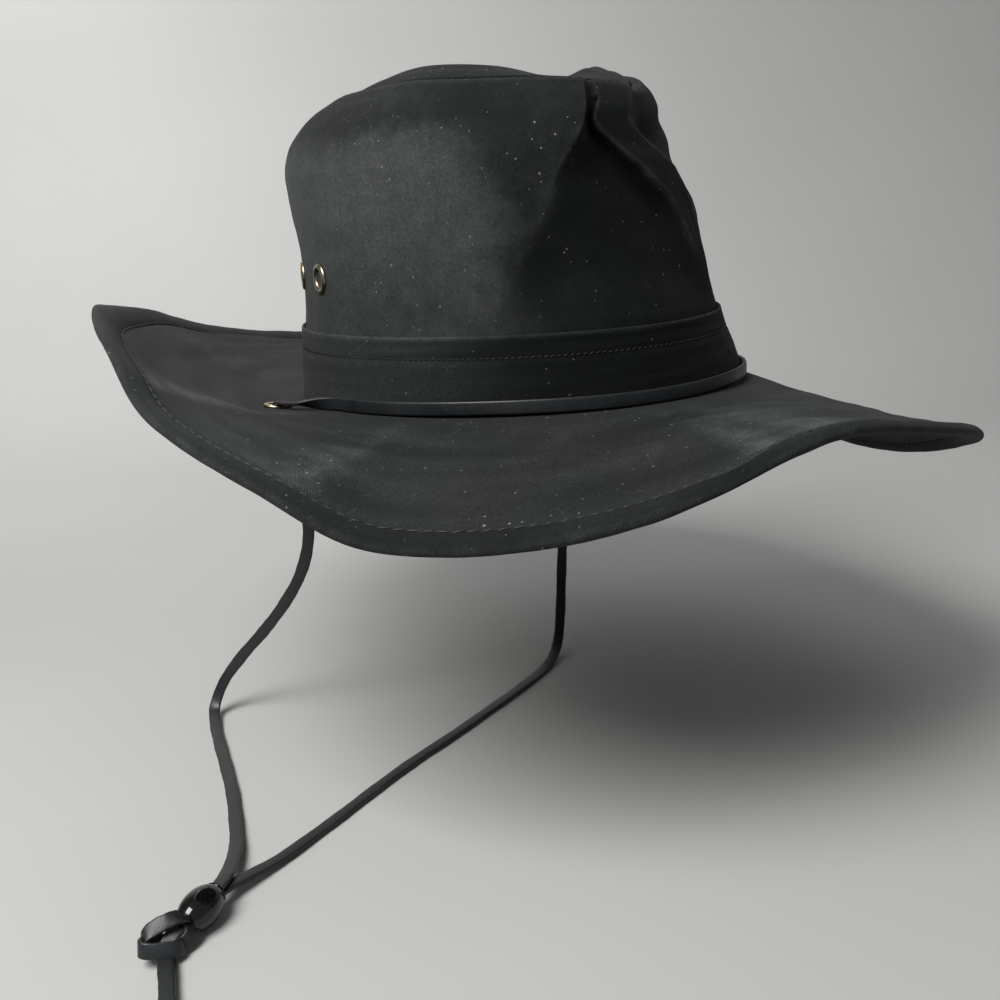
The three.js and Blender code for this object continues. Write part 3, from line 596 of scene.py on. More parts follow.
def smooth_path(points: Array, spacing: float) -> tuple[Array, Array]:
    """An even path through given points, as a centripetal spline.

    Args:
        points: the set points.
        spacing: distance between the points of the path.

    Returns:
        The path, and for each of its points the place among the set points as a fraction.
    """
    padded = np.concatenate([[2 * points[0] - points[1]], points, [2 * points[-1] - points[-2]]])
    knots = np.concatenate([[0.0], np.cumsum(np.linalg.norm(np.diff(padded, axis=0), axis=1) ** 0.5)])
    fine = np.linspace(knots[1], knots[-2], 60 * len(points))
    i = np.clip(np.searchsorted(knots, fine, side="right") - 1, 1, len(points) - 1)
    t0, t1, t2, t3 = (knots[i + k][:, None] for k in (-1, 0, 1, 2))
    p0, p1, p2, p3 = (padded[i + k] for k in (-1, 0, 1, 2))
    t = fine[:, None]

    def between(start: Array, end: Array, first: Array, second: Array) -> Array:
        """Straight blend of two points, from the first at start to the second at end."""
        return (end - t) / (end - start) * first + (t - start) / (end - start) * second

    a1, a2, a3 = between(t0, t1, p0, p1), between(t1, t2, p1, p2), between(t2, t3, p2, p3)
    curve = between(t1, t2, between(t0, t2, a1, a2), between(t1, t3, a2, a3))
    run = run_along(curve)
    even = np.linspace(0.0, run[-1], max(8, int(round(run[-1] / spacing)) + 1))
    place = np.interp(even, run, np.interp(fine, knots[1:-1], np.arange(len(points), dtype=float)))
    return read_rows(even, run, curve), place


def strap_frames(path: Array, facing: Array, roll: Array | float = 0.0) -> tuple[Array, Array]:
    """Directions of a strap's width and face along a path.

    The face looks as nearly as it can where facing points, and is then rolled about the path.

    Args:
        path: steps by 3.
        facing: wanted directions of the face, steps by 3.
        roll: further turn about the path, in degrees.

    Returns:
        Unit directions across the strap and out of its face.
    """
    ahead = unit(np.gradient(path, axis=0))
    face = squared(facing, ahead)
    across = np.cross(ahead, face)
    turn = np.radians(np.broadcast_to(roll, (len(path),)))[:, None]
    return across * np.cos(turn) + face * np.sin(turn), face * np.cos(turn) - across * np.sin(turn)


# Node graphs


class Graph:
    """A short way to add and join the nodes of a material or of a node group."""

    def __init__(self, tree: bpy.types.NodeTree) -> None:
        """Start with an empty tree."""
        self.tree = tree
        tree.nodes.clear()

    def add(self, kind: str, settings: dict | None = None, **inputs: object) -> bpy.types.Node:
        """Add a node, set its settings and set or join its inputs.

        Args:
            kind: type name of the node without its prefix.
            settings: properties of the node.
            inputs: values or sockets by input name, with underscores for spaces.

        Returns:
            The node.
        """
        node = self.tree.nodes.new("ShaderNode" + kind)
        for key, value in (settings or {}).items():
            setattr(node, key, value)
        for key, value in inputs.items():
            self.feed(node, key.replace("_", " "), value)
        return node

    def feed(self, node: bpy.types.Node, key: str | int, value: object) -> None:
        """Set an input of a node, or join a socket to it."""
        socket = node.inputs[key]
        if isinstance(value, bpy.types.NodeSocket):
            self.tree.links.new(value, socket)
        else:
            socket.default_value = value

    def math(self, operation: str, *values: object) -> bpy.types.NodeSocket:
        """Output of a math node with its inputs in order."""
        node = self.add("Math", {"operation": operation})
        for k, value in enumerate(values):
            self.feed(node, k, value)
        return node.outputs[0]

    def times(self, first: object, second: object) -> bpy.types.NodeSocket:
        """Product of two values."""
        return self.math("MULTIPLY", first, second)

    def ramp(
        self, value: object, low: float, high: float, to_low: float = 0.0, to_high: float = 1.0
    ) -> bpy.types.NodeSocket:
        """Straight, held change of a value from one range to another."""
        node = self.add("MapRange", {"clamp": True}, Value=value)
        for key, number in (("From Min", low), ("From Max", high), ("To Min", to_low), ("To Max", to_high)):
            node.inputs[key].default_value = number
        return node.outputs[0]

    def noise(
        self, vector: object, scale: float, detail: float = 3.0, rough: float = 0.55
    ) -> bpy.types.NodeSocket:
        """Value of a noise at a scale."""
        node = self.add("TexNoise", None, Vector=vector, Scale=scale, Detail=detail, Roughness=rough)
        return node.outputs["Fac"]

    def mix(self, factor: object, first: object, second: object) -> bpy.types.NodeSocket:
        """Blend of two colours."""
        node = self.add("Mix", {"data_type": "RGBA"})
        self.feed(node, 0, factor)
        self.feed(node, 6, first)
        self.feed(node, 7, second)
        return node.outputs[2]

    def bump(
        self, height: object, strength: float, distance: float, **inputs: object
    ) -> bpy.types.NodeSocket:
        """Normal of a surface that rises and sinks with a height, over a distance in metres."""
        node = self.add("Bump", None, Height=height, Strength=strength, Distance=distance, **inputs)
        return node.outputs[0]

    def group(self, tree: bpy.types.NodeTree, **inputs: object) -> bpy.types.Node:
        """Add a node group with its inputs set or joined."""
        return self.add("Group", {"node_tree": tree}, **inputs)

    def place(self) -> bpy.types.NodeSocket:
        """Place on the object, in metres."""
        return self.add("TexCoord").outputs["Object"]

    def cloth(self) -> bpy.types.NodeSocket:
        """Place on the flat cloth, in units of UV."""
        return self.add("UVMap", {"uv_map": "cloth"}).outputs[0]

    def attribute(self, name: str) -> bpy.types.NodeSocket:
        """Value of one of the mesh's own numbers."""
        return self.add("Attribute", {"attribute_name": name}).outputs["Fac"]

    def surface(self, shader: bpy.types.Node, colour: object, roughness: object, normal: object) -> None:
        """Join colour, roughness and normal to a surface shader."""
        self.feed(shader, "Base Color", colour)
        self.feed(shader, "Roughness", roughness)
        self.feed(shader, "Normal", normal)


def new_group(
    name: str, inputs: dict[str, float | None], *outputs: str
) -> tuple[Graph, bpy.types.Node, bpy.types.Node]:
    """Make a node group with named sockets.

    Args:
        name: name of the group.
        inputs: default of each number that goes in, or none for a vector.
        outputs: names of the numbers that come out.

    Returns:
        The graph, its input node and its output node.
    """
    tree = bpy.data.node_groups.new(name, "ShaderNodeTree")
    graph = Graph(tree)
    for key, default in inputs.items():
        kind = "NodeSocketVector" if default is None else "NodeSocketFloat"
        socket = tree.interface.new_socket(key, in_out="INPUT", socket_type=kind)
        if default is not None:
            socket.default_value = default
    for key in outputs:
        tree.interface.new_socket(key, in_out="OUTPUT", socket_type="NodeSocketFloat")
    return graph, tree.nodes.new("NodeGroupInput"), tree.nodes.new("NodeGroupOutput")


def twill_group() -> bpy.types.NodeTree:
    """Fine twill weave: slanted ribs, broken by the yarns that cross them, with uneven thread."""
    graph, given, result = new_group("twill_weave", {"Vector": None, "Pitch": 1.0}, "Height", "Thread")
    split = graph.add("SeparateXYZ", None, Vector=given.outputs["Vector"])
    wobble = graph.noise(given.outputs["Vector"], 60.0, 2.0)
    waves = graph.math("DIVIDE", UV_UNIT * 2 * np.pi, given.outputs["Pitch"])
    slant = graph.math("MULTIPLY_ADD", split.outputs[1], 0.62, split.outputs[0])
    slant = graph.math("MULTIPLY_ADD", wobble, 0.006, slant)
    rib = graph.math("SINE", graph.times(slant, waves))
    cross = graph.math("MULTIPLY_ADD", split.outputs[0], -0.9, split.outputs[1])
    yarn = graph.math("SINE", graph.times(cross, graph.times(waves, 1.35)))
    both = graph.math("MULTIPLY_ADD", yarn, 0.22, graph.times(rib, 0.3))
    slub = graph.noise(given.outputs["Vector"], 210.0, 2.0, 0.85)
    height = graph.math("MULTIPLY_ADD", slub, 2.4, both)
    graph.feed(result, "Height", graph.ramp(height, 0.2, 2.2))
    graph.feed(result, "Thread", graph.ramp(height, 0.65, 1.75))
    return graph.tree


def lint_group() -> bpy.types.NodeTree:
    """Lint on dark cloth: small specks in some cells of a pattern, and short curled fibres."""
    graph, given, result = new_group("lint", {"Vector": None, "Amount": 1.0}, "Specks", "Fibres")
    vector = given.outputs["Vector"]
    cells = graph.add("TexVoronoi", {"feature": "F1"}, Vector=vector, Scale=330.0)
    size = graph.times(cells.outputs["Color"], 0.26)
    speck = graph.math("LESS_THAN", cells.outputs["Distance"], graph.math("SUBTRACT", size, 0.085))
    patch = graph.ramp(graph.noise(vector, 22.0, 2.0), 0.38, 0.62, 0.1, 0.8)
    graph.feed(result, "Specks", graph.times(graph.times(speck, patch), given.outputs["Amount"]))
    bent = graph.add("TexNoise", None, Vector=vector, Scale=90.0, Detail=1.0)
    moved = graph.add("VectorMath", {"operation": "MULTIPLY_ADD"})
    for k, value in enumerate((bent.outputs["Color"], (0.03, 0.03, 0.03), vector)):
        graph.feed(moved, k, value)
    strands = graph.add("TexVoronoi", {"feature": "DISTANCE_TO_EDGE"}, Vector=moved.outputs[0], Scale=85.0)
    thin = graph.ramp(strands.outputs["Distance"], 0.012, 0.0)
    broken = graph.ramp(graph.noise(vector, 150.0, 2.0), 0.56, 0.66)
    graph.feed(result, "Fibres", graph.times(graph.times(thin, broken), given.outputs["Amount"]))
    return graph.tree


def age_and_highlight_group() -> bpy.types.NodeTree:
    """Mottling and tint of waxed cloth, and a paler tone where the cloth bends outwards: partly wear on its
    ridges and partly a painted highlight.
    """
    graph, given, result = new_group("cloth_age", {"Vector": None, "Bend": 0.0}, "Mottle", "Rub", "Tint")
    vector = given.outputs["Vector"]
    broad = graph.noise(vector, 16.0, 5.0, 0.6)
    small = graph.noise(vector, 140.0, 4.0, 0.7)
    mottle = graph.math("MULTIPLY_ADD", small, 0.45, graph.times(broad, 0.9))
    graph.feed(result, "Mottle", graph.ramp(mottle, 0.35, 1.0))
    bent = graph.ramp(given.outputs["Bend"], 0.02, 0.5)
    graph.feed(result, "Rub", graph.times(bent, graph.ramp(small, 0.35, 0.65, 0.35, 1.0)))
    graph.feed(result, "Tint", graph.ramp(graph.noise(vector, 9.0, 2.0), 0.4, 0.62))
    return graph.tree


def grain_group() -> bpy.types.NodeTree:
    """Grain of smooth leather: fine pebbles broken by short creases."""
    graph, given, result = new_group("leather_grain", {"Vector": None}, "Height", "Mottle")
    vector = given.outputs["Vector"]
    pebbles = graph.add("TexVoronoi", {"feature": "SMOOTH_F1"}, Vector=vector, Scale=1500.0)
    crease = graph.noise(vector, 500.0, 4.0, 0.7)
    height = graph.math("MULTIPLY_ADD", crease, 0.7, graph.times(pebbles.outputs["Distance"], 0.5))
    graph.feed(result, "Height", height)
    graph.feed(result, "Mottle", graph.ramp(graph.noise(vector, 60.0, 4.0), 0.3, 0.7))
    return graph.tree


class Groups:
    """The node groups that several finishes share."""

    def __init__(self) -> None:
        """Build each group once."""
        self.twill = twill_group()
        self.lint = lint_group()
        self.age = age_and_highlight_group()
        self.grain = grain_group()


def new_material(name: str) -> tuple[bpy.types.Material, Graph, bpy.types.Node]:
    """Make a material with an empty graph and a surface shader that is joined to its output."""
    material = bpy.data.materials.new(name)
    material.use_nodes = True
    graph = Graph(material.node_tree)
    shader = graph.add("BsdfPrincipled")
    output = graph.add("OutputMaterial")
    graph.feed(output, "Surface", shader.outputs[0])
    return material, graph, shader


@dataclass(frozen=True)
class ClothFinish:
    """Waxed cotton: its colours, weave and wear, with painted shade and painted light mixed into its colour.

    Attributes:
        name: name of the material.
        waxy_shaded: dark colour where the cloth has kept its wax, used as painted shade where the cloth turns
            from the key light.
        faded_lit: pale colour where sun and handling have dried the cloth, used as painted light on the side
            turned to the key light.
        brown: second pale colour, in broad patches.
        rubbed_highlight: pale colour along ridges of the cloth, partly wear and partly a painted highlight.
        lint_colour: colour of lint.
        pitch: distance between the slanted ribs, in millimetres.
        lint: amount of lint.
        weave_tone: least and greatest share of the colour over the weave.
        nap_scale: fineness of the nap.
        nap_tone: least and greatest share of the colour over the nap.
        mottle_tone: least and greatest share of the colour over the mottling.
        speck_share: how much of the lint's colour a speck has.
        dull: least and greatest roughness.
        shine: share of the clear shine.
        fuzz: share and roughness of the sheen.
        weave_bump: strength and depth of the weave, the depth in metres.
        soft_bump: strength and depth of the mottling.
    """

    name: str
    waxy_shaded: Row = (0.0026, 0.0033, 0.0035, 1.0)
    faded_lit: Row = (0.0405, 0.0468, 0.0464, 1.0)
    brown: Row = (0.0415, 0.0398, 0.039, 1.0)
    rubbed_highlight: Row = (0.07, 0.074, 0.073, 1.0)
    lint_colour: Row = (0.28, 0.285, 0.275, 1.0)
    pitch: float = 0.85
    lint: float = 1.0
    weave_tone: Row = (0.58, 1.3)
    nap_scale: float = 850.0
    nap_tone: Row = (0.72, 1.28)
    mottle_tone: Row = (0.7, 1.25)
    speck_share: float = 0.6
    dull: Row = (0.62, 0.8)
    shine: float = 0.1
    fuzz: Row = (0.03, 0.5)
    weave_bump: Row = (0.9, 0.00022)
    soft_bump: Row = (0.5, 0.0006)

    def material(self, groups: Groups) -> bpy.types.Material:
        """Build the material from the shared groups."""
        material, graph, shader = new_material(self.name)
        place, cloth = graph.place(), graph.cloth()
        bend, fade = graph.attribute("bend"), graph.attribute("fade")
        twill = graph.group(groups.twill, Vector=cloth, Pitch=self.pitch)
        age = graph.group(groups.age, Vector=place, Bend=bend)
        mottle = age.outputs["Mottle"]
        lint = graph.group(groups.lint, Vector=place, Amount=self.lint)
        # Painted shade and light: the dark colour where the cloth turns from the key light, the pale one
        # where it faces it, with brown patches in the pale tone.
        body = graph.mix(fade, self.waxy_shaded, graph.mix(age.outputs["Tint"], self.faded_lit, self.brown))
        # Painted highlight on ridges, partly wear: paler where the cloth bends outwards, kept weak where the
        # cloth is painted in shade.
        rub_highlight = graph.times(age.outputs["Rub"], graph.ramp(fade, 0.0, 0.3, 0.3, 1.0))
        body = graph.mix(rub_highlight, body, self.rubbed_highlight)
        weave = graph.ramp(twill.outputs["Thread"], 0.0, 1.0, *self.weave_tone)
        nap = graph.ramp(graph.noise(place, self.nap_scale, 2.0, 0.8), 0.3, 0.7, *self.nap_tone)
        tone = graph.times(graph.times(weave, nap), graph.ramp(mottle, 0.0, 1.0, *self.mottle_tone))
        woven = graph.add("VectorMath", {"operation": "SCALE"})
        graph.feed(woven, 0, body)
        graph.feed(woven, "Scale", tone)
        # Lint fibres are kept faint where the cloth is painted in shade.
        faint = graph.times(lint.outputs["Fibres"], graph.ramp(fade, 0.0, 0.4, 0.02, 0.13))
        colour = graph.mix(faint, woven.outputs[0], self.lint_colour)
        colour = graph.mix(graph.times(lint.outputs["Specks"], self.speck_share), colour, self.lint_colour)
        fine = graph.bump(twill.outputs["Height"], *self.weave_bump)
        normal = graph.bump(mottle, *self.soft_bump, Normal=fine)
        graph.surface(shader, colour, graph.ramp(mottle, 0.0, 1.0, *self.dull), normal)
        graph.feed(shader, "Specular IOR Level", self.shine)
        graph.feed(shader, "Sheen Weight", self.fuzz[0])
        graph.feed(shader, "Sheen Roughness", self.fuzz[1])
        return material


@dataclass(frozen=True)
class LeatherFinish:
    """Flat leather thong: smooth on its grain side, rough on its edges and flesh side."""

    name: str = "thong_leather"
    base: Row = (0.005, 0.0058, 0.0068, 1.0)
    worn: Row = (0.013, 0.0145, 0.0165, 1.0)
    flesh: Row = (0.009, 0.009, 0.0095, 1.0)
    dull: Row = (0.36, 0.5)
    flesh_dull: float = 0.32
    bump: Row = (0.5, 0.0002)

    def material(self, groups: Groups) -> bpy.types.Material:
        """Build the material from the shared groups."""
        material, graph, shader = new_material(self.name)
        place, side = graph.place(), graph.attribute("flesh")
        grain = graph.group(groups.grain, Vector=place)
        mottle = grain.outputs["Mottle"]
        colour = graph.mix(side, graph.mix(mottle, self.base, self.worn), self.flesh)
        dull = graph.math("MULTIPLY_ADD", side, self.flesh_dull, graph.ramp(mottle, 0.0, 1.0, *self.dull))
        graph.surface(shader, colour, dull, graph.bump(grain.outputs["Height"], *self.bump))
        return material


@dataclass(frozen=True)
class BrassFinish:
    """Antique brass: dark in its recesses and worn bright on its rim."""

    name: str = "eyelet_brass"
    bright: Row = (0.5, 0.44, 0.29, 1.0)
    dark: Row = (0.13, 0.102, 0.055, 1.0)
    dull: Row = (0.2, 0.4)
    pitting: float = 900.0
    bump: Row = (0.25, 0.0001)

    def material(self, groups: Groups) -> bpy.types.Material:
        """Build the material from the shared groups."""
        material, graph, shader = new_material(self.name)
        place = graph.place()
        mottle = graph.group(groups.age, Vector=place).outputs["Mottle"]
        shine = graph.times(graph.attribute("rim"), graph.ramp(mottle, 0.2, 0.8, 0.75, 1.0))
        colour = graph.mix(shine, self.dark, self.bright)
        normal = graph.bump(graph.noise(place, self.pitting), *self.bump)
        graph.surface(shader, colour, graph.ramp(mottle, 0.0, 1.0, *self.dull), normal)
        graph.feed(shader, "Metallic", 1.0)
        return material


@dataclass(frozen=True)
class GlossFinish:
    """Polished black bead with faint scratches and finger marks."""

    name: str = "bead_gloss"
    deep: Row = (0.0035, 0.0036, 0.004, 1.0)
    scuffed: Row = (0.012, 0.012, 0.013, 1.0)
    dull: Row = (0.05, 0.14)
    scuffs: float = 420.0
    waves: float = 260.0
    bump: Row = (0.12, 0.0003)

    def material(self, groups: Groups) -> bpy.types.Material:
        """Build the material from the shared groups."""
        material, graph, shader = new_material(self.name)
        place = graph.place()
        mottle = graph.group(groups.age, Vector=place).outputs["Mottle"]
        mark = graph.ramp(graph.noise(place, self.scuffs), 0.55, 0.75)
        normal = graph.bump(graph.noise(place, self.waves, 2.0), *self.bump)
        colour = graph.mix(mark, self.deep, self.scuffed)
        graph.surface(shader, colour, graph.ramp(mottle, 0.0, 1.0, *self.dull), normal)
        return material


@dataclass(frozen=True)
class ThreadFinish:
    """Black sewing thread with a slight lustre and a twist."""

    name: str = "sewing_thread"
    dark: Row = (0.003, 0.0033, 0.0036, 1.0)
    light: Row = (0.026, 0.027, 0.028, 1.0)
    pitch: float = 0.35
    dull: Row = (0.45, 0.65)
    bump: Row = (0.6, 0.0001)

    def material(self, groups: Groups) -> bpy.types.Material:
        """Build the material from the shared groups."""
        material, graph, shader = new_material(self.name)
        twill = graph.group(groups.twill, Vector=graph.cloth(), Pitch=self.pitch)
        age = graph.group(groups.age, Vector=graph.place())
        thread = twill.outputs["Thread"]
        colour = graph.mix(graph.times(thread, age.outputs["Mottle"]), self.dark, self.light)
        normal = graph.bump(twill.outputs["Height"], *self.bump)
        graph.surface(shader, colour, graph.ramp(thread, 0.0, 1.0, *self.dull), normal)
        return material


class Cloth(Enum):
    """The places of the hat's cotton, each with its own finish."""

    CROWN = ClothFinish("crown_cotton")
    BAND = ClothFinish("band_cotton", lint=0.8)
    BRIM = ClothFinish("brim_cotton", lint=1.3)
    HEM = ClothFinish("hem_cotton", pitch=0.8, lint=0.8)


class Finishes:
    """Every material of the hat, built once."""

    def __init__(self) -> None:
        """Build the groups, then the materials from them."""
        groups = Groups()
        self.cloth = {kind: kind.value.material(groups) for kind in Cloth}
        self.leather = LeatherFinish().material(groups)
        self.brass = BrassFinish().material(groups)
        self.gloss = GlossFinish().material(groups)
        self.thread = ThreadFinish().material(groups)


# Sewing


@dataclass(frozen=True)
class Stitches:
    """Sizes of a row of stitches, in millimetres.

    Attributes:
        spacing: distance from stitch to stitch.
        length: length of a stitch.
        thick: thickness of the thread.
        seed: start of the random draws.
        lean: how far each stitch slants across the row.
        spread: how much the slant varies.
        lengths: least and greatest share of the length.
        rings: rows of points along a stitch.
        sides: points round it.
        sag: how far its ends sink into the cloth, as a share of the thickness.
    """

    spacing: float
    length: float
    thick: float
    seed: int
    lean: float = 0.12
    spread: float = 0.06
    lengths: Row = (0.85, 1.08)
    rings: int = 5
    sides: int = 6
    sag: float = 0.18

    def body_faces(self) -> Array:
        """Faces between the rings of one stitch, whose two ends sink into the cloth."""
        low = self.sides * np.arange(self.rings - 1)[:, None]
        ring = np.arange(self.sides)
        after = np.roll(ring, -1)
        high = low + self.sides
        return np.stack([high + ring, high + after, low + after, low + ring], axis=-1).reshape(-1, 4)

    def row(self, path: Array, normals: Array) -> Skin:
        """One skin with all the stitches along a closed path on cloth.

        Each stitch is one small oval body: a sphere's points scaled along the path, across it and out of the
        cloth. Stitches vary a little in length and slant.

        Args:
            path: points on the cloth.
            normals: directions out of the cloth at those points.

        Returns:
            The skin.
        """
        line, out = (np.append(rows, rows[:1], axis=0) for rows in (path, normals))
        run = run_along(line)
        count = int(run[-1] / self.spacing)
        at = (np.arange(count) + 0.5) * run[-1] / count
        middle = read_rows(at, run, line)
        ahead = unit(read_rows(at + 0.5, run, line) - middle)
        normal = unit(read_rows(at, run, out))
        aside = unit(np.cross(normal, ahead))
        draws = np.random.default_rng(self.seed)
        ahead = unit(ahead + aside * draws.normal(self.lean, self.spread, count)[:, None])
        half = self.length / 2 * draws.uniform(*self.lengths, count)
        polar = np.linspace(0.12, np.pi - 0.12, self.rings)
        turn = stations(self.sides, 2 * np.pi)
        along = -np.cos(polar)[:, None] + 0 * turn
        girth = np.sin(polar)[:, None] ** 0.6
        side = girth * np.cos(turn) * self.thick / 2
        lift = girth * np.sin(turn) * self.thick / 2 - self.sag * self.thick * along**2
        points = (
            middle[:, None, None]
            + (ahead * half[:, None])[:, None, None] * along[None, ..., None]
            + aside[:, None, None] * side[None, ..., None]
            + normal[:, None, None] * lift[None, ..., None]
        )
        one = self.rings * self.sides
        faces = (self.body_faces() + one * np.arange(count)[:, None, None]).reshape(-1, 4)
        girth_way = np.broadcast_to(turn, along.shape) * self.thick / 2
        local = np.stack([along * self.length / 2, girth_way], axis=-1).reshape(-1, 2)
        return Skin(points.reshape(-1, 3), faces, local[faces % one])


# Eyelets


@dataclass(frozen=True)
class Eyelet:
    """A rolled eyelet and its sizes in millimetres.

    Attributes:
        hole: radius of the hole.
        rim: outer radius of the rim.
        metal: thickness of the barrel.
        seat: height at which the rim's roll begins.
        roll: height of the roll.
        below: depth of the barrel's foot under the cloth.
        steps: points round it.
    """

    hole: float = 3.6
    rim: float = 6.2
    metal: float = 0.45
    seat: float = 0.1
    roll: float = 1.25
    below: float = 0.35
    steps: int = 56

    def profile(self, wall: float) -> tuple[Array, Array]:
        """Profile of the eyelet in a cloth of that wall, and how bright it is rubbed at each point.

        It goes over the rolled rim, an arc from its outer edge to the hole, down the barrel's inside, round
        the washer below and up the barrel's outside.
        """
        hole, rim, metal, seat, foot = self.hole, self.rim, self.metal, self.seat, -wall - self.below
        arc = np.linspace(0.0, np.pi, 13)
        across = (rim + hole) / 2 + (rim - hole) / 2 * np.cos(arc)
        rolled = np.stack([across, seat + self.roll * np.sin(arc) ** 0.85], axis=1)
        under = np.array([
            [hole, seat - 0.4], [hole, foot - 0.3], [hole + 0.25, foot - 0.55], [rim - 0.9, foot - 0.6],
            [rim - 0.45, foot - 0.35], [rim - 0.7, foot - 0.05], [hole + metal, foot],
            [hole + metal, seat - 0.25], [rim - 0.3, seat - 0.3],
        ])
        return np.concatenate([rolled, under]), np.append(np.sin(arc) ** 0.5, np.full(len(under), 0.2))

    def make(
        self, solid: str, place: Array, normal: Array, wall: float, brass: bpy.types.Material
    ) -> bpy.types.Object:
        """Put an eyelet into the cloth.

        Args:
            solid: name of the solid that it stands for.
            place: middle of the hole on the cloth's outer face.
            normal: direction out of the cloth.
            wall: thickness of the cloth.
            brass: its material.

        Returns:
            The piece.
        """
        profile, bright = self.profile(wall)
        side = unit(np.cross(UP if abs(normal[2]) < 0.9 else np.array([1.0, 0.0, 0.0]), normal))
        skin = lathed(place, normal, side, profile, self.steps, 0.6, {"rim": bright})
        return make_piece(solid + "_brass", skin, "eyelet_brass", brass, solid)


# The crown


@dataclass(frozen=True)
class FadeShade:
    """Share of the crown's pale tone, partly real sun-bleaching and partly painted light and shade: pale on
    the wearer's right, which faces the key light, and on the back; dark on the front and in the pinch, which
    turn from the light, as painted shade.

    Attributes:
        least: share that every place has.
        full: further share on the side turned to the key light, where the cloth lies in the sun and is
            painted as lit.
        left: share of it on the wearer's left, between the angles of left_turn.
        patches: coarseness and seed of the patches.
        wander: how far the patches move the edge of the painted shade, in degrees.
        patchy: how much they vary the pale tone.
        ridge: level, height and strength of the paler belt under the shoulder, a painted highlight.
        shoulder: levels between which the pale tone ends towards the top, as painted shade, and how much of
            it is lost.
        foot: levels between which it weakens downwards, as painted shade at the foot, and how much of it is
            lost.
    """

    least: float = 0.02
    full: float = 0.8
    left: float = 0.7
    left_turn: Row = (70.0, 150.0)
    patches: tuple[int, int] = (7, 15)
    wander: float = 5.0
    patchy: float = 0.14
    ridge: Row = (0.57, 0.12, 0.3)
    shoulder: Row = (0.61, 0.8, 0.95)
    foot: Row = (0.44, 0.24, 0.4)

    def read(self, angles: Array, level: Array, dark: float, pale: float) -> Array:
        """Share of the pale tone at places on the crown, with its painted light and shade.

        Args:
            angles: degrees round the hat.
            level: share of the way up.
            dark: angle on the wearer's right where the pale tone starts; towards the front the cloth is
                painted dark as in shade.
            pale: angle where it is full.

        Returns:
            Values between 0 and 1.
        """
        patches = soft_noise(angles.shape, *self.patches)
        right = smoothstep(dark, pale, angles + self.wander * patches)
        around = np.maximum(right, self.left * smoothstep(*self.left_turn, angles))
        middle, tall, more = self.ridge
        (high, top, lost), (low, foot, weak) = self.shoulder, self.foot
        along = (1 + more * bell(level - middle, tall)) * (1 - lost * smoothstep(high, top, level))
        along = along * (1 - weak * smoothstep(low, foot, level))
        return np.clip((self.least + self.full * around) * along * (1 + self.patchy * patches), 0.0, 1.0)


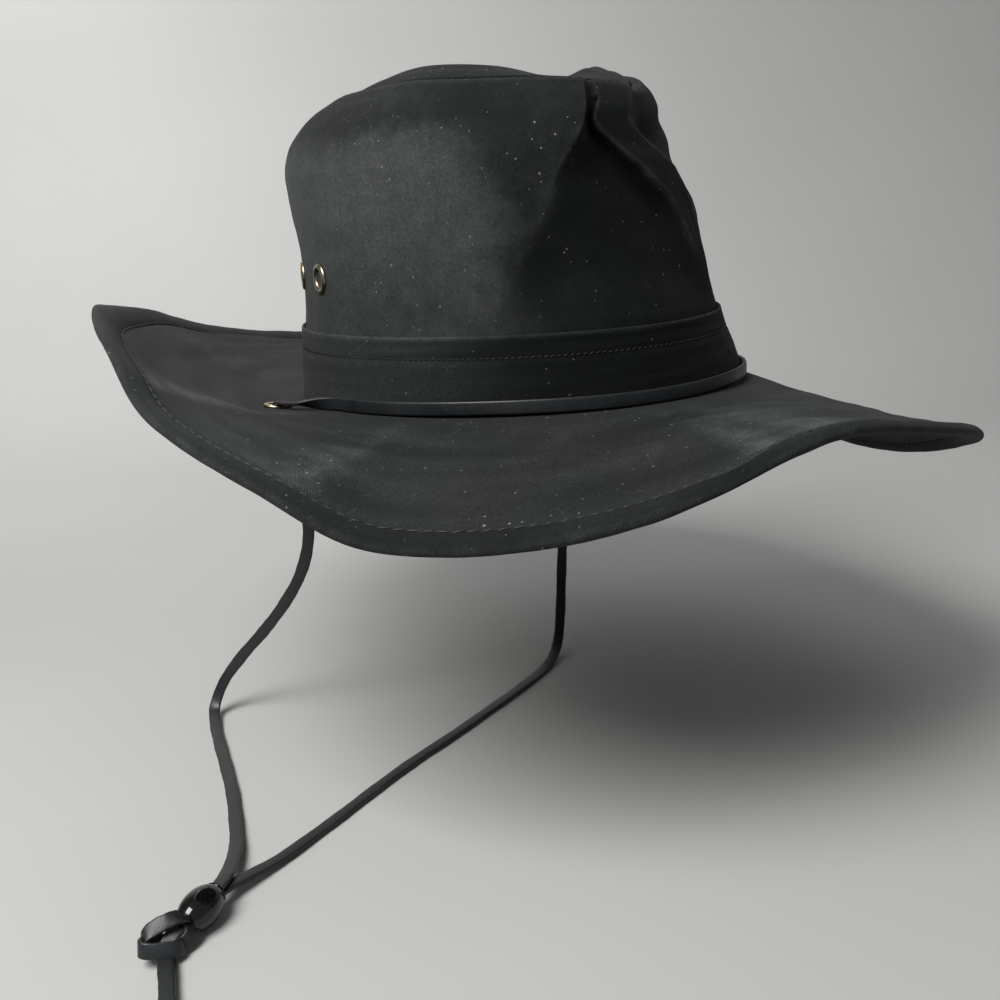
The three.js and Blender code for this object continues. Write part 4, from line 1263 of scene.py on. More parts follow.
@dataclass
class Crown:
    """The crown: its side with the pinch, its tip, the seam between them, the band and the vents."""

    form: HatForm
    finishes: Finishes
    # painted light and shade of the crown's cloth, with real sun-bleaching
    fade_shade_map: FadeShade = FadeShade()
    side_steps: tuple[int, ...] = (120, 80, 26, 80, 84)
    side_levels: int = 104
    tip_levels: int = 46
    band_levels: int = 30
    smooth_times: int = 3
    side_length: float = 62.0  # way up the side that the seam's grooves are measured on
    side_stretch: float = 1.35  # way along the cloth to the height of the side
    tip_length: float = 60.0
    seam_depth: float = 0.7
    seam_rub_highlight: Row = (-0.3, 0.8)  # amount and width
    welt: Row = (0.45, 3.0, 1.6)  # height, way from the seam and width
    welt_rub_highlight: Row = (0.12, 2.6, 1.2)  # amount, way from the seam and width
    crumple: float = 0.55
    side_fade_shade_turn: Row = (-40.0, -62.0)  # angles where the pale tone starts and where it is full; towards the front the side is painted dark as in shade
    # the band's painted shade: angles and overall share, as on the side
    band_fade_shade_turn: Row = (-44.0, -76.0)
    band_fade_shade_share: float = 0.9
    # low pale share over the whole tip: painted shade on the top
    tip_fade_shade_share: float = 0.07
    band_slack: float = 0.18
    band_sewn_below: float = 8.0
    band_stitches: Stitches = Stitches(2.4, 1.8, 0.45, 21, 0.35)
    seam_stitches: Stitches = Stitches(2.9, 1.9, 0.36, 22)
    seam_column: int = -4  # column of the side's grid that the stitches follow
    vent_height: float = 48.5
    vents: tuple[tuple[str, float], ...] = (
        ("vent_eyelet_right_front", -104.5), ("vent_eyelet_right_back", -127.0),
        ("vent_eyelet_left_front", 104.5), ("vent_eyelet_left_back", 127.0),
    )
    rows: dict[str, tuple[Array, Array]] = field(default_factory=dict)  # lines to sew along

    def surface_uv(self, angles: Array, along: Array) -> Array:
        """Places on the cloth: the way round at the head's size, and the way along, in millimetres."""
        around = np.concatenate([angles, angles[:1] + 360.0])
        size = np.radians(around) * (self.form.half_width + self.form.half_length) / 2
        return np.stack([size, np.broadcast_to(along[:1], size.shape)], axis=-1)

    def smoothed(self, points: Array) -> Array:
        """The grid with its folds eased: each pass moves points towards their neighbours round the hat."""
        for _ in range(self.smooth_times):
            points = points * 0.5 + (np.roll(points, 1, axis=0) + np.roll(points, -1, axis=0)) * 0.25
        return points

    def make_side(self) -> None:
        """Side of the crown: the form's surface, crumpled softly, with a groove at the seam of the tip."""
        up = np.linspace(self.form.up_at(GAP), 0.996, self.side_levels)
        angles = self.form.crown_angles(up, self.side_steps)
        level = np.broadcast_to(up, angles.shape)
        points = self.smoothed(self.form.crown_side(angles, level))
        normals = grid_normals(points)
        bend = grid_bend(points, normals)
        crumple = soft_noise(angles.shape, 11, 5) * 0.7 + soft_noise(angles.shape, 26, 6) * 0.3
        way = (1.0 - level) * self.side_length
        lift = self.crumple * crumple * smoothstep(0.22, 0.4, level) - self.seam_depth * bell(way, 1.0)
        height, at, wide = self.welt
        points = points + normals * (lift + height * bell(way - at, wide))[..., None]
        rubbed_highlight, at, wide = self.welt_rub_highlight
        # Paler along outward bends and along the welt, partly wear and partly a painted highlight; less so at
        # the seam.
        rub_highlight = bend * 1.1 + rubbed_highlight * bell(way - at, wide) + self.seam_rub_highlight[0] * bell(way, self.seam_rub_highlight[1])
        # Pale tone map of the side: painted shade on the front and in the pinch, painted light on the side
        # turned to the key light.
        values = {"bend": rub_highlight, "fade": self.fade_shade_map.read(angles, level, *self.side_fade_shade_turn)}
        uv = self.surface_uv(angles, level * self.form.crown_height * self.side_stretch)
        skin = walled(points, self.form.crown_wall, uv, values)
        make_piece("crown_side_cloth", skin, "cotton", self.finishes.cloth[Cloth.CROWN], "crown_side")
        self.rows["seam"] = points[:, self.seam_column], grid_normals(points)[:, self.seam_column]

    def make_tip(self) -> None:
        """Tip of the crown: a dimpled dome that is closed at its middle."""
        inward = np.linspace(0.004, 0.985, self.tip_levels)
        angles = self.form.crown_angles(np.ones(1), self.side_steps)
        angles = np.broadcast_to(angles, (len(angles), self.tip_levels))
        level = np.broadcast_to(inward, angles.shape)
        points = self.smoothed(self.form.crown_tip(angles, level))
        crumple = soft_noise(angles.shape, 9, 8) * smoothstep(0.0, 0.2, level) * (1 - level)
        way = level * self.tip_length
        lift = self.crumple * crumple - self.seam_depth * bell(way, 1.0)
        points = points + grid_normals(points) * lift[..., None]
        normals = grid_normals(points)
        bend = grid_bend(points, normals, 2) + self.seam_rub_highlight[0] * bell(way, self.seam_rub_highlight[1])
        # The whole tip gets a low pale share: painted shade on the top.
        skin = self.domed(points, normals, {"bend": bend, "fade": np.full(angles.shape, self.tip_fade_shade_share)})
        make_piece("crown_tip_cloth", skin, "cotton", self.finishes.cloth[Cloth.CROWN], "crown_tip")

    def domed(self, points: Array, normals: Array, values: Values) -> Skin:
        """A closed dome with an outer and an inner skin, each with one point in the middle."""
        inner = points - normals * self.form.crown_wall
        grid = np.concatenate([inner[:, ::-1], points], axis=1)
        values = {name: np.concatenate([value[:, ::-1], value], axis=1) for name, value in values.items()}
        n, m = grid.shape[:2]
        flat = np.concatenate([grid[..., :2], grid[:1, :, :2]])
        skin = sheet_skin(grid, flat, True, False, values)
        poles = np.stack([inner[:, -1].mean(axis=0), points[:, -1].mean(axis=0)])
        ring, pole = np.arange(n) * m, np.full(n, n * m)
        after = np.roll(ring, -1)
        low = np.stack([after, ring, pole, pole], axis=1)
        top = np.stack([ring + m - 1, after + m - 1, pole + 1, pole + 1], axis=1)
        fans = np.concatenate([low, top])
        everything = np.concatenate([skin.points, poles])
        uv = np.concatenate([skin.uv, everything[fans][..., :2]])
        ends = {name: np.append(value, value[[0, -1]]) for name, value in skin.values.items()}
        return turned_outward(Skin(everything, np.concatenate([skin.faces, fans]), uv, ends))

    def make_band(self) -> None:
        """Band: a strip with a folded top edge, a sewn groove below it and a little slack."""
        form = self.form
        tall = form.band_height
        up = np.linspace(form.up_at(2 * GAP), form.up_at(tall), self.band_levels)
        angles = form.crown_angles(up, self.side_steps)
        level = np.broadcast_to(up, angles.shape)
        normals = form.side_normal(angles, level)
        height = level / form.up_at(tall) * tall
        slack = soft_noise(angles.shape, 14, 11) * self.band_slack
        sewn = bell(height - (tall - self.band_sewn_below), 0.9)
        fold = bell(height - (tall - 0.8), 1.6)
        lift = GAP + form.band_wall + slack - 0.35 * sewn + 0.25 * fold
        points = form.crown_side(angles, level) + normals * lift[..., None]
        # Paler along the folded top edge, partly wear and partly a painted highlight; less so in the sewn
        # groove.
        rub_highlight = 0.22 * bell(height - tall, 0.9) + 0.06 * fold - 0.25 * sewn
        # Pale tone map of the band: painted shade on its front, as on the side.
        fade = self.band_fade_shade_share * self.fade_shade_map.read(angles, level, *self.band_fade_shade_turn)
        uv = self.surface_uv(angles, height)
        skin = walled(points, form.band_wall, uv, {"bend": rub_highlight, "fade": fade})
        make_piece("band_cloth", skin, "band_cotton", self.finishes.cloth[Cloth.BAND], "hat_band")
        row = int(np.argmin(np.abs(height[0] - (tall - self.band_sewn_below))))
        self.rows["band"] = points[:, row], normals[:, row]

    def make_stitches(self) -> None:
        """Rows of stitches along the band and beside the seam of the tip."""
        for name, line, slot, stitches, proud in (
            ("band_stitches", "band", "band_cotton", self.band_stitches, 0.1),
            ("crown_seam_stitches", "seam", "cotton", self.seam_stitches, 0.05),
        ):
            path, normals = self.rows[line]
            make_piece(name, stitches.row(path + normals * proud, normals), slot, self.finishes.thread)

    def make_vents(self) -> None:
        """The four brass vents, each square to the cloth at its place."""
        up = np.full(1, self.form.up_at(self.vent_height))
        for name, angle in self.vents:
            at = np.full(1, angle)
            place, normal = self.form.crown_side(at, up)[0], self.form.side_normal(at, up)[0]
            Eyelet().make(name, place, normal, self.form.crown_wall, self.finishes.brass)

    def make(self) -> None:
        """Build every piece of the crown."""
        self.make_side()
        self.make_tip()
        self.make_band()
        self.make_stitches()
        self.make_vents()


# The brim


@dataclass
class Brim:
    """The brim: its cloth, the padded hem round its edge, the row sewn beside the hem and the cord's eyelets.

    The hem's section is a closed line: ways in from the brim's edge, less the hem's width, and heights above
    the cloth's top.
    """

    form: HatForm
    finishes: Finishes
    steps: int = 480
    levels: int = 64
    ripple: float = 0.5
    groove: float = 0.5
    groove_rub_highlight: float = 0.45
    faded_lit: Row = (0.36, 0.18)  # share of the pale, lit colour over all the cloth, and of its ripples
    cloth_radius: float = 140.0
    hem_width: float = 9.5
    hem_lap: float = 2.0
    hem_points: int = 48
    hem_radius: float = 165.0
    hem_rows: Rows = (
        (0.3, -0.25), (-0.3, 0.1), (-1.2, 0.55), (-2.6, 0.95), (-4.2, 1.2), (-5.8, 1.25), (-7.2, 1.05),
        (-8.4, 0.55), (-9.2, -0.15), (-9.55, -1.0), (-9.2, -1.9), (-8.4, -2.6), (-7.2, -3.05), (-5.8, -3.25),
        (-4.2, -3.2), (-2.6, -2.95), (-1.2, -2.6), (-0.3, -2.15), (0.3, -1.75), (0.1, -1.0),
    )
    hem_plump: Rows = ((30, 41, 0.16), (90, 42, 0.07))  # coarseness, seed and amount of each swelling
    hem_faded: Row = (0.14, 0.26, 0.42)  # share at the front, further share at the sides, and of the swelling
    hem_turn: Row = (50.0, 115.0)  # angles between which the sides begin
    stitch_way: float = 0.35
    stitch_sunk: float = 0.05
    stitch_steps: int = 1440
    top_stitches: Stitches = Stitches(4.7, 4.0, 0.8, 51)
    under_stitches: Stitches = Stitches(4.7, 4.0, 0.8, 52)
    eyelet_angle: float = 112.5
    eyelet_reach: float = 19.0

    def around(self, count: int) -> Array:
        """Even stations round the brim, from the back."""
        return -180.0 + stations(count, 360.0)

    def make_cloth(self) -> None:
        """Cloth of the brim: the form's surface with soft ripples, from the hem in to the crown."""
        form = self.form
        edge = 1 - (self.hem_width - self.hem_lap) / form.brim_width
        out = np.linspace(edge, -form.crown_wall / form.brim_width, self.levels)
        around = self.around(self.steps)
        angles = np.broadcast_to(around[:, None], (self.steps, self.levels))
        level = np.broadcast_to(out, angles.shape)
        points = form.brim(angles, level)
        normals = form.brim_normal(angles, level)
        way = (1 - level) * form.brim_width
        ripple = soft_noise(angles.shape, 12, 31) * 0.8 + soft_noise(angles.shape, 34, 32) * 0.2
        ripple = ripple * smoothstep(0.05, 0.3, level)
        sewn = bell(way - self.hem_width - 0.4, 0.9)
        points = points + normals * (self.ripple * ripple - self.groove * sewn)[..., None]
        # Paler along outward bends, partly wear and partly a painted highlight; less so in the sewn groove.
        rub_highlight = grid_bend(points, normals) * 1.5 - self.groove_rub_highlight * sewn
        round_way = np.radians(np.append(around, 180.0)) * self.cloth_radius
        uv = np.stack(np.meshgrid(round_way, way[0], indexing="ij"), axis=-1)
        values = {"bend": rub_highlight, "fade": np.clip(self.faded_lit[0] + self.faded_lit[1] * ripple, 0.0, 1.0)}
        skin = walled(points, form.brim_wall, uv, values)
        make_piece("brim_cloth", skin, "cotton", self.finishes.cloth[Cloth.BRIM], "brim")

    def hem_section(self) -> tuple[Array, Array]:
        """Points of the hem's section, and the way along it at each of them and at its end."""
        rows = np.array(self.hem_rows) + [self.hem_width, 0.0]
        closed = np.append(rows, rows[:1], axis=0)
        keys = np.arange(len(closed))
        section = read_rows(np.linspace(0, len(rows), self.hem_points, endpoint=False), keys, closed)
        return section, np.interp(np.linspace(0, len(rows), self.hem_points + 1), keys, run_along(closed))

    def make_hem(self) -> None:
        """Padded hem: its section carried round the brim's edge, swelling and sinking a little."""
        form = self.form
        section, along = self.hem_section()
        around = self.around(2 * self.steps)
        angles = np.broadcast_to(around[:, None], (len(around), len(section)))
        way, height = (np.broadcast_to(size, angles.shape) for size in section.T)
        out = 1 - way / form.brim_width
        plump = sum(soft_noise(angles.shape, wave, seed)[:, :1] * high for wave, seed, high in self.hem_plump)
        middle = -form.brim_wall / 2
        lift = (height - middle) * (1 + plump) + middle
        points = form.brim(angles, out) + form.brim_normal(angles, out) * lift[..., None]
        # Paler round the outer edge of the hem, partly wear and partly a painted highlight; less so where it
        # meets the brim.
        rub_highlight = 0.16 * bell(way, 1.6) + 0.05 * bell(way - 5.0, 3.0) - 0.3 * bell(way - self.hem_width, 0.6)
        run = np.append(np.radians(around), np.pi) * self.hem_radius
        least, sides, swollen = self.hem_faded
        fade = least + sides * smoothstep(*self.hem_turn, np.abs(angles)) + swollen * plump
        values = {"bend": rub_highlight, "fade": np.clip(fade, 0.0, 1.0)}
        uv = np.stack(np.meshgrid(run, along, indexing="ij"), axis=-1)
        skin = turned_outward(sheet_skin(points, uv, True, True, values))
        make_piece("brim_hem", skin, "cotton", self.finishes.cloth[Cloth.HEM], "brim_binding")

    def make_stitches(self) -> None:
        """Row of stitches in the groove beside the hem, on both faces of the brim."""
        form = self.form
        around = self.around(self.stitch_steps)
        out = np.full(around.shape, 1 - (self.hem_width + self.stitch_way) / form.brim_width)
        line, normals = form.brim(around, out), form.brim_normal(around, out)
        top = self.top_stitches.row(line - normals * self.stitch_sunk, normals)
        under = self.under_stitches.row(line - normals * (form.brim_wall - self.stitch_sunk), -normals)
        make_piece("brim_stitches", top.joined(under), "cotton", self.finishes.thread)

    def eyelet_seat(self, side: int) -> tuple[Array, Array]:
        """Middle of the right (-1) or left (1) cord eyelet on the brim, and the way out of the cloth."""
        at = np.full(1, side * self.eyelet_angle)
        out = np.full(1, self.eyelet_reach / self.form.brim_width)
        return self.form.brim(at, out)[0], self.form.brim_normal(at, out)[0]

    def make_eyelets(self) -> None:
        """The two brass eyelets for the chin cord."""
        for name, side in (("brim_eyelet_right", -1), ("brim_eyelet_left", 1)):
            Eyelet().make(name, *self.eyelet_seat(side), self.form.brim_wall, self.finishes.brass)

    def make(self) -> None:
        """Build every piece of the brim."""
        self.make_cloth()
        self.make_hem()
        self.make_stitches()
        self.make_eyelets()


# The thong


@dataclass
class Thong:
    """The flat leather thong: the lace round the band, the chin cord's two strands, the knot and its tails.

    The routes are points that the strands pass. Each pass of the knot has points and face directions, as
    ahead, aside and up from the knot's middle.
    """

    form: HatForm
    brim: Brim
    finishes: Finishes
    width: float = 5.2
    thickness: float = 1.7
    section_points: int = 22
    waves: Rows = ((0.035, 0.37), (0.02, 1.13))  # share of the width, and turn from step to step
    lace_steps: int = 360
    lace_lift: float = 3.4
    lace_end_lift: float = 2.4
    lace_leaves: float = 18.0
    lace_short: float = 2.7
    lace_wave: float = 0.25
    lace_pinch: float = 0.25
    dip_radius: float = 1.3
    dip_widths: Row = (0.6, 0.75)
    floor: float = -150.0
    floor_gap: float = 0.12
    strand_below: float = 1.4
    strand_spacing: float = 1.3
    right_route: Rows = (
        (-90, 45, -30), (-86, 45, -46), (-87, 46, -62), (-89, 52, -77), (-93, 62, -92), (-98, 75, -107),
        (-104, 88, -121), (-110, 98, -135), (-116, 98, -145), (-122, 88, -148.7), (-131, 69, -148.8),
        (-139, 51, -148.8), (-150, 27, -148.8), (-160, 8, -148.4), (-171.5, -12, -147), (-180.5, -24, -145),
        (-187.5, -32, -143.2), (-194, -37.3, -142.2),
    )
    left_route: Rows = (
        (89, 44, -34), (81, 45, -56), (75, 41, -78), (68, 36, -99), (60, 31, -118), (50, 24, -134),
        (38, 16, -144.5), (22, 8, -148.6), (-7, 0, -148.8), (-33, -5, -148.8), (-61, -10, -148.8),
        (-88, -14, -148.8), (-112, -19, -148.8), (-131, -23.5, -148.8), (-149, -27.5, -148.6),
        (-165, -31, -148), (-179, -33.2, -146.4), (-188.5, -35.3, -144.8), (-194, -37.3, -144.4),
    )
    right_face: Row = (-0.55, -0.75, 0.3)
    left_face: Row = (-0.75, -0.55, 0.35)
    lies_from: Row = (7.5, 10.5)  # points of the route between which it turns flat
    bead_place: Row = (-202.0, -41.0, -143.3)
    bead_heading: float = -155.0
    bead_length: float = 17.0
    bead_diameter: float = 13.0
    bead_hole: float = 7.0
    bead_steps: int = 72
    knot_place: Row = (-217.6, -47.6, -143.6)
    knot_spacing: float = 0.6
    knot_passes: tuple[Rows, ...] = (
        (
            (-8.0, 6.6, 0.8, 0, 0, 1), (-6.0, 4.4, 3.8, 0.3, 0, 0.9), (-4.4, 1.0, 4.4, 0.7, -0.2, 0.7),
            (-3.8, -3.0, 3.4, 0.7, -0.3, 0.7), (-3.2, -6.2, 1.8, 0.5, -0.8, 0.6),
            (-3.4, -7.2, -0.8, -0.1, -1, 0.2), (-4.2, -5.6, -3.4, -0.9, -0.4, 0),
        ),
        (
            (-7.4, 5.8, -0.6, 0, 0, 1), (-5.0, 3.4, 0.2, 0.2, 0.1, 1), (-2.6, 1.0, -0.6, 0.5, 0, 1),
            (-0.6, -0.6, -2.6, 1, 0, 0.5), (0.6, -1.0, -4.6, 1, 0, 0.8),
        ),
        (
            (-7.6, 6.6, -0.6, 0.1, 0.3, 0.9), (-5.2, 7.6, -0.6, 0.3, 0.7, 0.8),
            (-2.8, 7.0, -1.6, 0.6, 0.8, 0.5), (-1.0, 4.8, -2.8, 0.9, 0.4, 0.4), (0.4, 2.2, -3.2, 1, 0.1, 0.4),
        ),
    )
    tail_heading: float = -118.0
    tail_length: float = 36.0
    tail_start: float = 3.1
    tail_over: float = 3.4
    tails: tuple[tuple[str, str, float, float, float], ...] = (  # piece, solid, lift, shift and swing
        ("tail_thong_upper", "cord_tail_upper", 1.84, -1.0, 0.6),
        ("tail_thong_lower", "cord_tail_lower", 0.0, -0.5, -0.3),
    )

    def section(self) -> tuple[Array, Values]:
        """Section of the thong, and how far each of its points lies on the rough side."""
        shape = rounded_section(self.width, self.thickness, self.section_points)
        return shape, {"flesh": 1 - smoothstep(0.0, 0.45, shape[:, 1] / (self.thickness / 2))}

    def strap(self, path: Array, across: Array, face: Array, closed: bool = False) -> Skin:
        """Thong along a path, a little uneven in width."""
        shape, values = self.section()
        step = np.arange(len(path))
        uneven = 1 + sum(high * np.sin(step * pace) for high, pace in self.waves)
        shape = shape * np.stack([uneven, np.ones_like(uneven)], axis=1)[:, None]
        return swept(path, across, face, shape, values, closed)

    def make_thong(self, name: str, skin: Skin, solid: str) -> bpy.types.Object:
        """A piece of thong in its leather."""
        return make_piece(name, skin, "thong_leather", self.finishes.leather, solid)

    def lace_place(self, angle: Array) -> tuple[Array, Array]:
        """Line of the lace round the band's foot, which leaves it and comes down flat over the eyelets."""
        end = self.brim.eyelet_angle
        away = smoothstep(end - self.lace_leaves, end, np.abs(angle))
        on_band = self.form.crown_wall + self.form.band_wall + 3 * GAP + self.thickness / 2
        over = self.form.crown_wall + self.brim.eyelet_reach
        at = self.form.oval(angle, on_band + (over - on_band) * away)
        out = self.brim.eyelet_reach / self.form.brim_width * away
        foot = self.form.brim(angle, out)[..., 2]
        at[..., 2] = foot + (1 - away) * self.lace_lift + away * self.lace_end_lift
        return at, away

    def lace_dip(self, side: int, start: Array, run: Array) -> Array:
        """End of the lace in its eyelet: a bend from its level run, and a short way straight down."""
        normal, radius = self.brim.eyelet_seat(side)[1], self.dip_radius
        bend = np.radians(np.linspace(8, 82, 10))[:, None]
        arc = start + run * radius * np.sin(bend) - normal * radius * (1 - np.cos(bend))
        return np.concatenate([arc, arc[-1] - normal * np.linspace(0.3, 1.6, 4)[:, None]])

    def make_lace(self) -> None:
        """Lace: the thong on edge round the band, which turns flat at its ends and dips into the eyelets."""
        end = self.brim.eyelet_angle - self.lace_short
        angle = np.linspace(-end, end, self.lace_steps)
        at, away = self.lace_place(angle)
        at[:, 2] += self.lace_wave * np.sin(np.radians(angle * 5)) * (1 - away)
        lean = smoothstep(0, 0.7, away)[:, None] * np.pi / 2
        share = np.full(angle.shape, self.brim.eyelet_reach / self.form.brim_width)
        outward = unit(self.form.slopes(self.form.brim, angle, share)[1])
        ahead = unit(np.gradient(at, axis=0))
        across = squared(outward * np.sin(lean) + UP * np.cos(lean), ahead)
        right, left = self.lace_dip(-1, at[0], -ahead[0])[::-1], self.lace_dip(1, at[-1], ahead[-1])
        path = np.concatenate([right, at, left])
        count = len(right)
        across = np.concatenate([np.repeat(across[:1], count, 0), across, np.repeat(across[-1:], count, 0)])
        ahead = unit(np.gradient(path, axis=0))
        across = squared(across, ahead)
        narrow = np.linspace(*self.dip_widths, count)
        pinched = 1 - self.lace_pinch * smoothstep(0.75, 1.0, away)
        shape, values = self.section()
        shape = shape * np.concatenate([narrow, pinched, narrow[::-1]])[:, None, None]
        skin = swept(path, across, np.cross(ahead, across), shape, values)
        self.make_thong("lace_thong", skin, "crown_lace")

    def make_strand(self, name: str, solid: str, side: int) -> tuple[bpy.types.Object, Array]:
        """A free strand of the chin cord, from inside its eyelet to the bead.

        Args:
            name: name of the piece.
            solid: name of the solid that it stands for.
            side: -1 for the right strand, 1 for the left.

        Returns:
            The piece and its path, which starts at the exit on the brim's underside.
        """
        place, normal = self.brim.eyelet_seat(side)
        foot = self.form.brim_wall + self.strand_below
        leaving = [place - normal * drop for drop in (foot, foot + 2 * self.width)]
        route = self.right_route if side < 0 else self.left_route
        hanging = self.right_face if side < 0 else self.left_face
        path, at = smooth_path(np.concatenate([leaving, np.array(route, dtype=float)]), self.strand_spacing)
        lying = smoothstep(*self.lies_from, at)[:, None]
        across, face = strap_frames(path, UP * lying + np.array(hanging) * (1 - lying))
        return self.make_thong(name, self.strap(path, across, face), solid), path

    def heading(self, degrees: float) -> Array:
        """Level direction at an angle from +X."""
        return np.array([np.cos(np.radians(degrees)), np.sin(np.radians(degrees)), 0.0])

    def make_bead(self) -> bpy.types.Object:
        """Bead: a barrel profile turned about the cord, with rounded lips round its hole."""
        half, rim, hole = self.bead_length / 2, self.bead_diameter / 2, self.bead_hole / 2
        t = np.linspace(-1, 1, 33)
        barrel = np.stack([rim * np.sqrt(1 - (0.84 * t) ** 2), half * t * 0.97], axis=1)
        lip = np.array([[hole + 0.55, half * 0.995], [hole + 0.2, half * 0.985], [hole + 0.02, half * 0.95]])
        inner = np.stack([np.full(9, hole), np.linspace(half * 0.9, -half * 0.9, 9)], axis=1)
        profile = np.concatenate([barrel, lip, inner, lip[::-1] * [1, -1]])
        ahead = self.heading(self.bead_heading)
        place, aside = np.array(self.bead_place), np.cross(UP, ahead)
        skin = lathed(place, ahead, aside, profile, self.bead_steps, 0.5, {})
        return make_piece("cord_bead_gloss", skin, "bead_gloss", self.finishes.gloss, "cord_bead")

    def knot_strap(self, rows: Array, closed: bool = False) -> Skin:
        """One pass of the thong in the knot.

        Args:
            rows: points and face directions, each as ahead, aside and up from the knot's middle.
            closed: whether the pass is a whole ring.

        Returns:
            The strap.
        """
        axes = np.stack([self.heading(self.tail_heading), self.heading(self.tail_heading + 90), UP])
        if closed:
            rows = np.concatenate([rows[-2:], rows, rows[:2]])
        points = np.array(self.knot_place) + rows[:, :3] @ axes
        path, at = smooth_path(points, self.knot_spacing)
        across, face = strap_frames(path, read_rows(at, np.arange(len(rows)), rows[:, 3:] @ axes))
        if closed:
            kept = (at >= 2) & (at < len(points) - 2)
            path, across, face = path[kept], across[kept], face[kept]
        return self.strap(path, across, face, closed)

    def make_knot(self) -> bpy.types.Object:
        """Knot: the thong wound round itself in one standing ring and three crossing passes."""
        turn = np.radians(np.arange(0, 360, 24))
        front, side = eased(np.cos(turn), 0.8), eased(np.sin(turn), 0.8)
        ring = np.stack([
            -0.4 + 3.2 * front, -2.0 + 6.2 * side, -1.5 + 0.6 * front - 1.3 * side,
            front, 0.9 * side, 0.1 + 0.45 * front,
        ], axis=1)
        skin = self.knot_strap(ring, True)
        for rows in self.knot_passes:
            skin = skin.joined(self.knot_strap(np.array(rows, dtype=float)))
        return self.make_thong("cord_knot_thong", skin, "cord_knot")

    def make_tails(self) -> list[bpy.types.Object]:
        """The two tails, one over the other and a little askew, cut square at their ends."""
        ahead, aside = self.heading(self.tail_heading), self.heading(self.tail_heading + 90)
        share = np.linspace(0, 1, 36)[:, None]
        level = self.floor + self.floor_gap + self.thickness / 2 - self.knot_place[2]
        pieces = []
        for name, solid, lift, shift, swing in self.tails:
            run = self.tail_start + share * (self.tail_length + self.tail_over)
            path = np.array(self.knot_place) + ahead * run
            path = path + aside * (shift + swing * np.sin(share * 2.2)) + UP * (level + lift)
            across, face = strap_frames(path, np.broadcast_to(UP, path.shape), 3 * np.sin(share[:, 0] * 5))
            pieces.append(self.make_thong(name, self.strap(path, across, face), solid))
        return pieces

    def make_cord(self) -> None:
        right = self.make_strand("chin_thong_right", "chin_cord_right", -1)
        left = self.make_strand("chin_thong_left", "chin_cord_left", 1)
        self.make_bead()
        self.make_knot()
        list(self.make_tails())


# The studio


@dataclass(frozen=True)
class Lamp:
    """A square soft light: its name, place and aim in metres, its side, its power in watts and its tint."""

    name: str
    place: Row
    aim: Row
    size: float
    power: float
    tint: Row

    def make(self) -> None:
        """Add the light, which looks from its place at its aim."""
        lamp = bpy.data.lights.new(self.name, "AREA")
        lamp.size = self.size
        lamp.energy = self.power
        lamp.color = self.tint
        back = unit(np.array(self.place) - np.array(self.aim))
        right = unit(np.cross(UP, back))
        stand(bpy.data.objects.new(self.name, lamp), (right, np.cross(back, right), back), self.place)


def stand(rig: bpy.types.Object, axes: tuple[Array, ...], place: Row) -> None:
    """Put an object into the scene at a place, with its three axes turned as given."""
    turned = np.eye(4)
    turned[:3, :3] = np.stack(axes, axis=1)
    turned[:3, 3] = place
    rig.matrix_world = Matrix(turned.tolist())
    bpy.context.scene.collection.objects.link(rig)


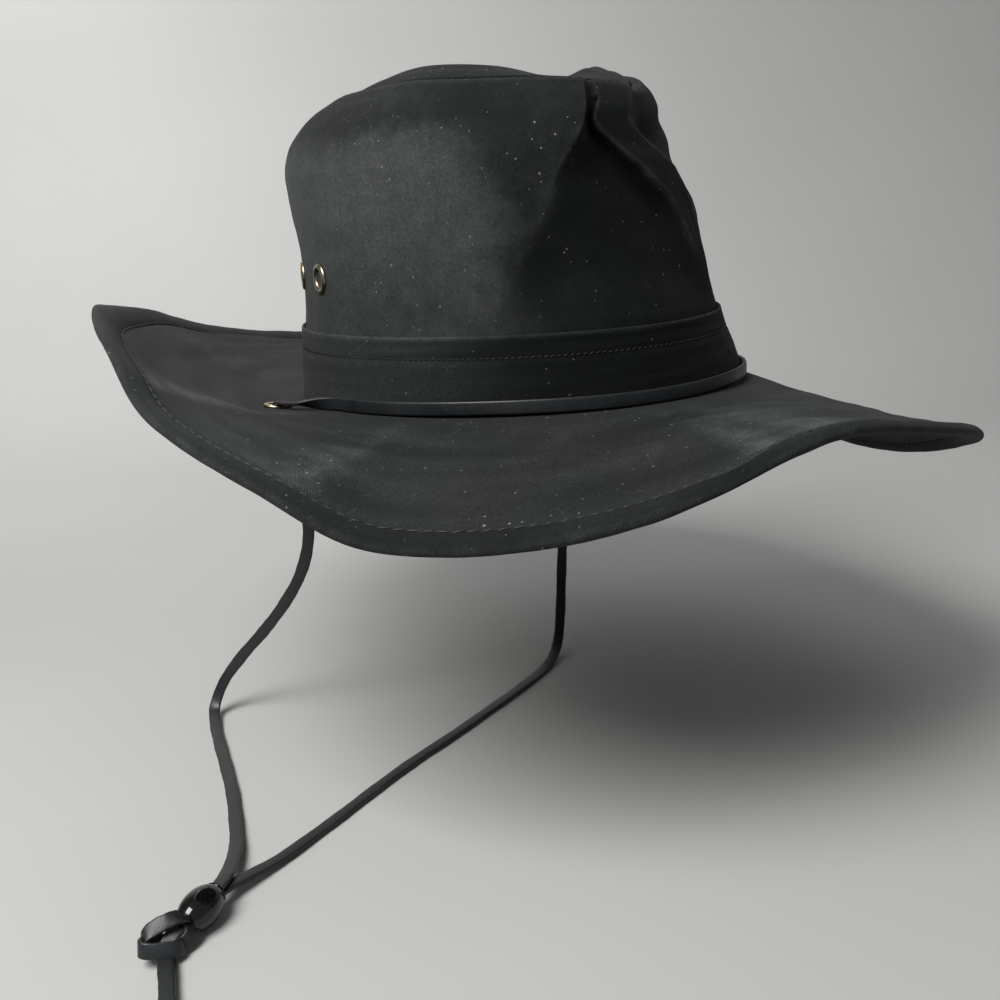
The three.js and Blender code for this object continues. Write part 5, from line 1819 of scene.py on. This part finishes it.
@dataclass
class Studio:
    """Camera, floor and lights, in metres."""

    focal: float = 37.8
    sensor: float = 36.0
    near: float = 0.01
    place: Row = (-0.3349, -0.3349, 0.0682)
    axes: Rows = ((0.7051, -0.7057, -0.0692), (0.2268, 0.1320, 0.9649), (-0.6718, -0.6961, 0.2532))
    floor: float = -0.1502
    away: Row = (0.70, 0.71, 0.0)
    flat_from: float = -9.0
    flat_to: float = 0.55
    bend_radius: float = 0.5
    wall_top: float = 6.0
    half_width: float = 9.0
    paper: Rows = ((0.405, 0.404, 0.395, 1), (0.425, 0.424, 0.415, 1))
    paper_dull: float = 0.9
    lamps: tuple[Lamp, ...] = (
        Lamp("key", (-0.74, -0.10, 0.82), (0.0, 0.0, 0.0), 0.6, 18.3, (1.0, 0.995, 0.98)),
        Lamp("top", (0.5, 0.6, 0.9), (0.0, 0.0, 0.0), 0.9, 3.2, (0.97, 0.985, 1.0)),
        Lamp("wall", (-0.28, 0.78, 0.55), (0.75, 1.2, 0.42), 0.4, 5.6, (1.0, 1.0, 1.0)),
    )
    sky: Row = (0.86, 0.88, 0.9, 1)
    sky_strength: float = 0.3

    def make_camera(self) -> None:
        """Camera at the photograph's angle: its three axes and its place."""
        camera = bpy.data.cameras.new("camera")
        camera.lens = self.focal
        camera.sensor_width = self.sensor
        camera.clip_start = self.near
        rig = bpy.data.objects.new("camera", camera)
        stand(rig, tuple(unit(np.array(axis)) for axis in self.axes), self.place)
        bpy.context.scene.camera = rig

    def make_sweep(self) -> None:
        """Floor that sweeps up into a wall behind the hat: a level stretch, a quarter circle and a rise."""
        away = unit(np.array(self.away))
        aside = np.array([-away[1], away[0], 0.0]) * self.half_width
        radius, bend = self.bend_radius, np.linspace(0, np.pi / 2, 24)
        curved = self.flat_to + radius * np.sin(bend)
        run = np.concatenate([[self.flat_from], curved, curved[-1:]])
        rise = np.concatenate([[0.0], radius * (1 - np.cos(bend)), [self.wall_top]])
        line = away * run[:, None] + UP * (rise + self.floor)[:, None]
        skin = sheet_skin(np.stack([line - aside, line + aside]), np.zeros((2, len(line), 2)), False, False)
        mesh = bpy.data.meshes.new("sweep")
        mesh.from_pydata(skin.points.tolist(), [], skin.faces[:, ::-1].tolist())
        mesh.polygons.foreach_set("use_smooth", np.ones(len(mesh.polygons), dtype=bool))
        sweep = bpy.data.objects.new("sweep", mesh)
        bpy.context.scene.collection.objects.link(sweep)
        material, graph, shader = new_material("studio_paper")
        tone = graph.ramp(graph.noise(graph.place(), 3.0), 0.3, 0.7)
        graph.feed(shader, "Base Color", graph.mix(tone, *self.paper))
        graph.feed(shader, "Roughness", self.paper_dull)
        mesh.materials.append(material)

    def make_lights(self) -> None:
        """Key from the upper left, a weak fill from above, a light on the wall and some from all round."""
        for lamp in self.lamps:
            lamp.make()
        world = bpy.data.worlds.new("studio")
        world.use_nodes = True
        background = world.node_tree.nodes["Background"]
        background.inputs[0].default_value = self.sky
        background.inputs[1].default_value = self.sky_strength
        bpy.context.scene.world = world
        bpy.context.scene.view_settings.view_transform = "Standard"

    def make(self) -> None:
        """Build the floor and the lights."""
        self.make_sweep()
        self.make_lights()


def main() -> None:
    """Build the hat, from the camera and the cords to the crown and the studio."""
    logging.basicConfig(level=logging.INFO, format="%(name)s: %(message)s")
    studio = Studio()
    studio.make_camera()
    finishes = Finishes()
    brim = Brim(FORM, finishes)
    thong = Thong(FORM, brim, finishes)
    thong.make_cord()
    thong.make_lace()
    brim.make()
    Crown(FORM, finishes).make()
    studio.make()


if __name__ == "__main__":
    main()
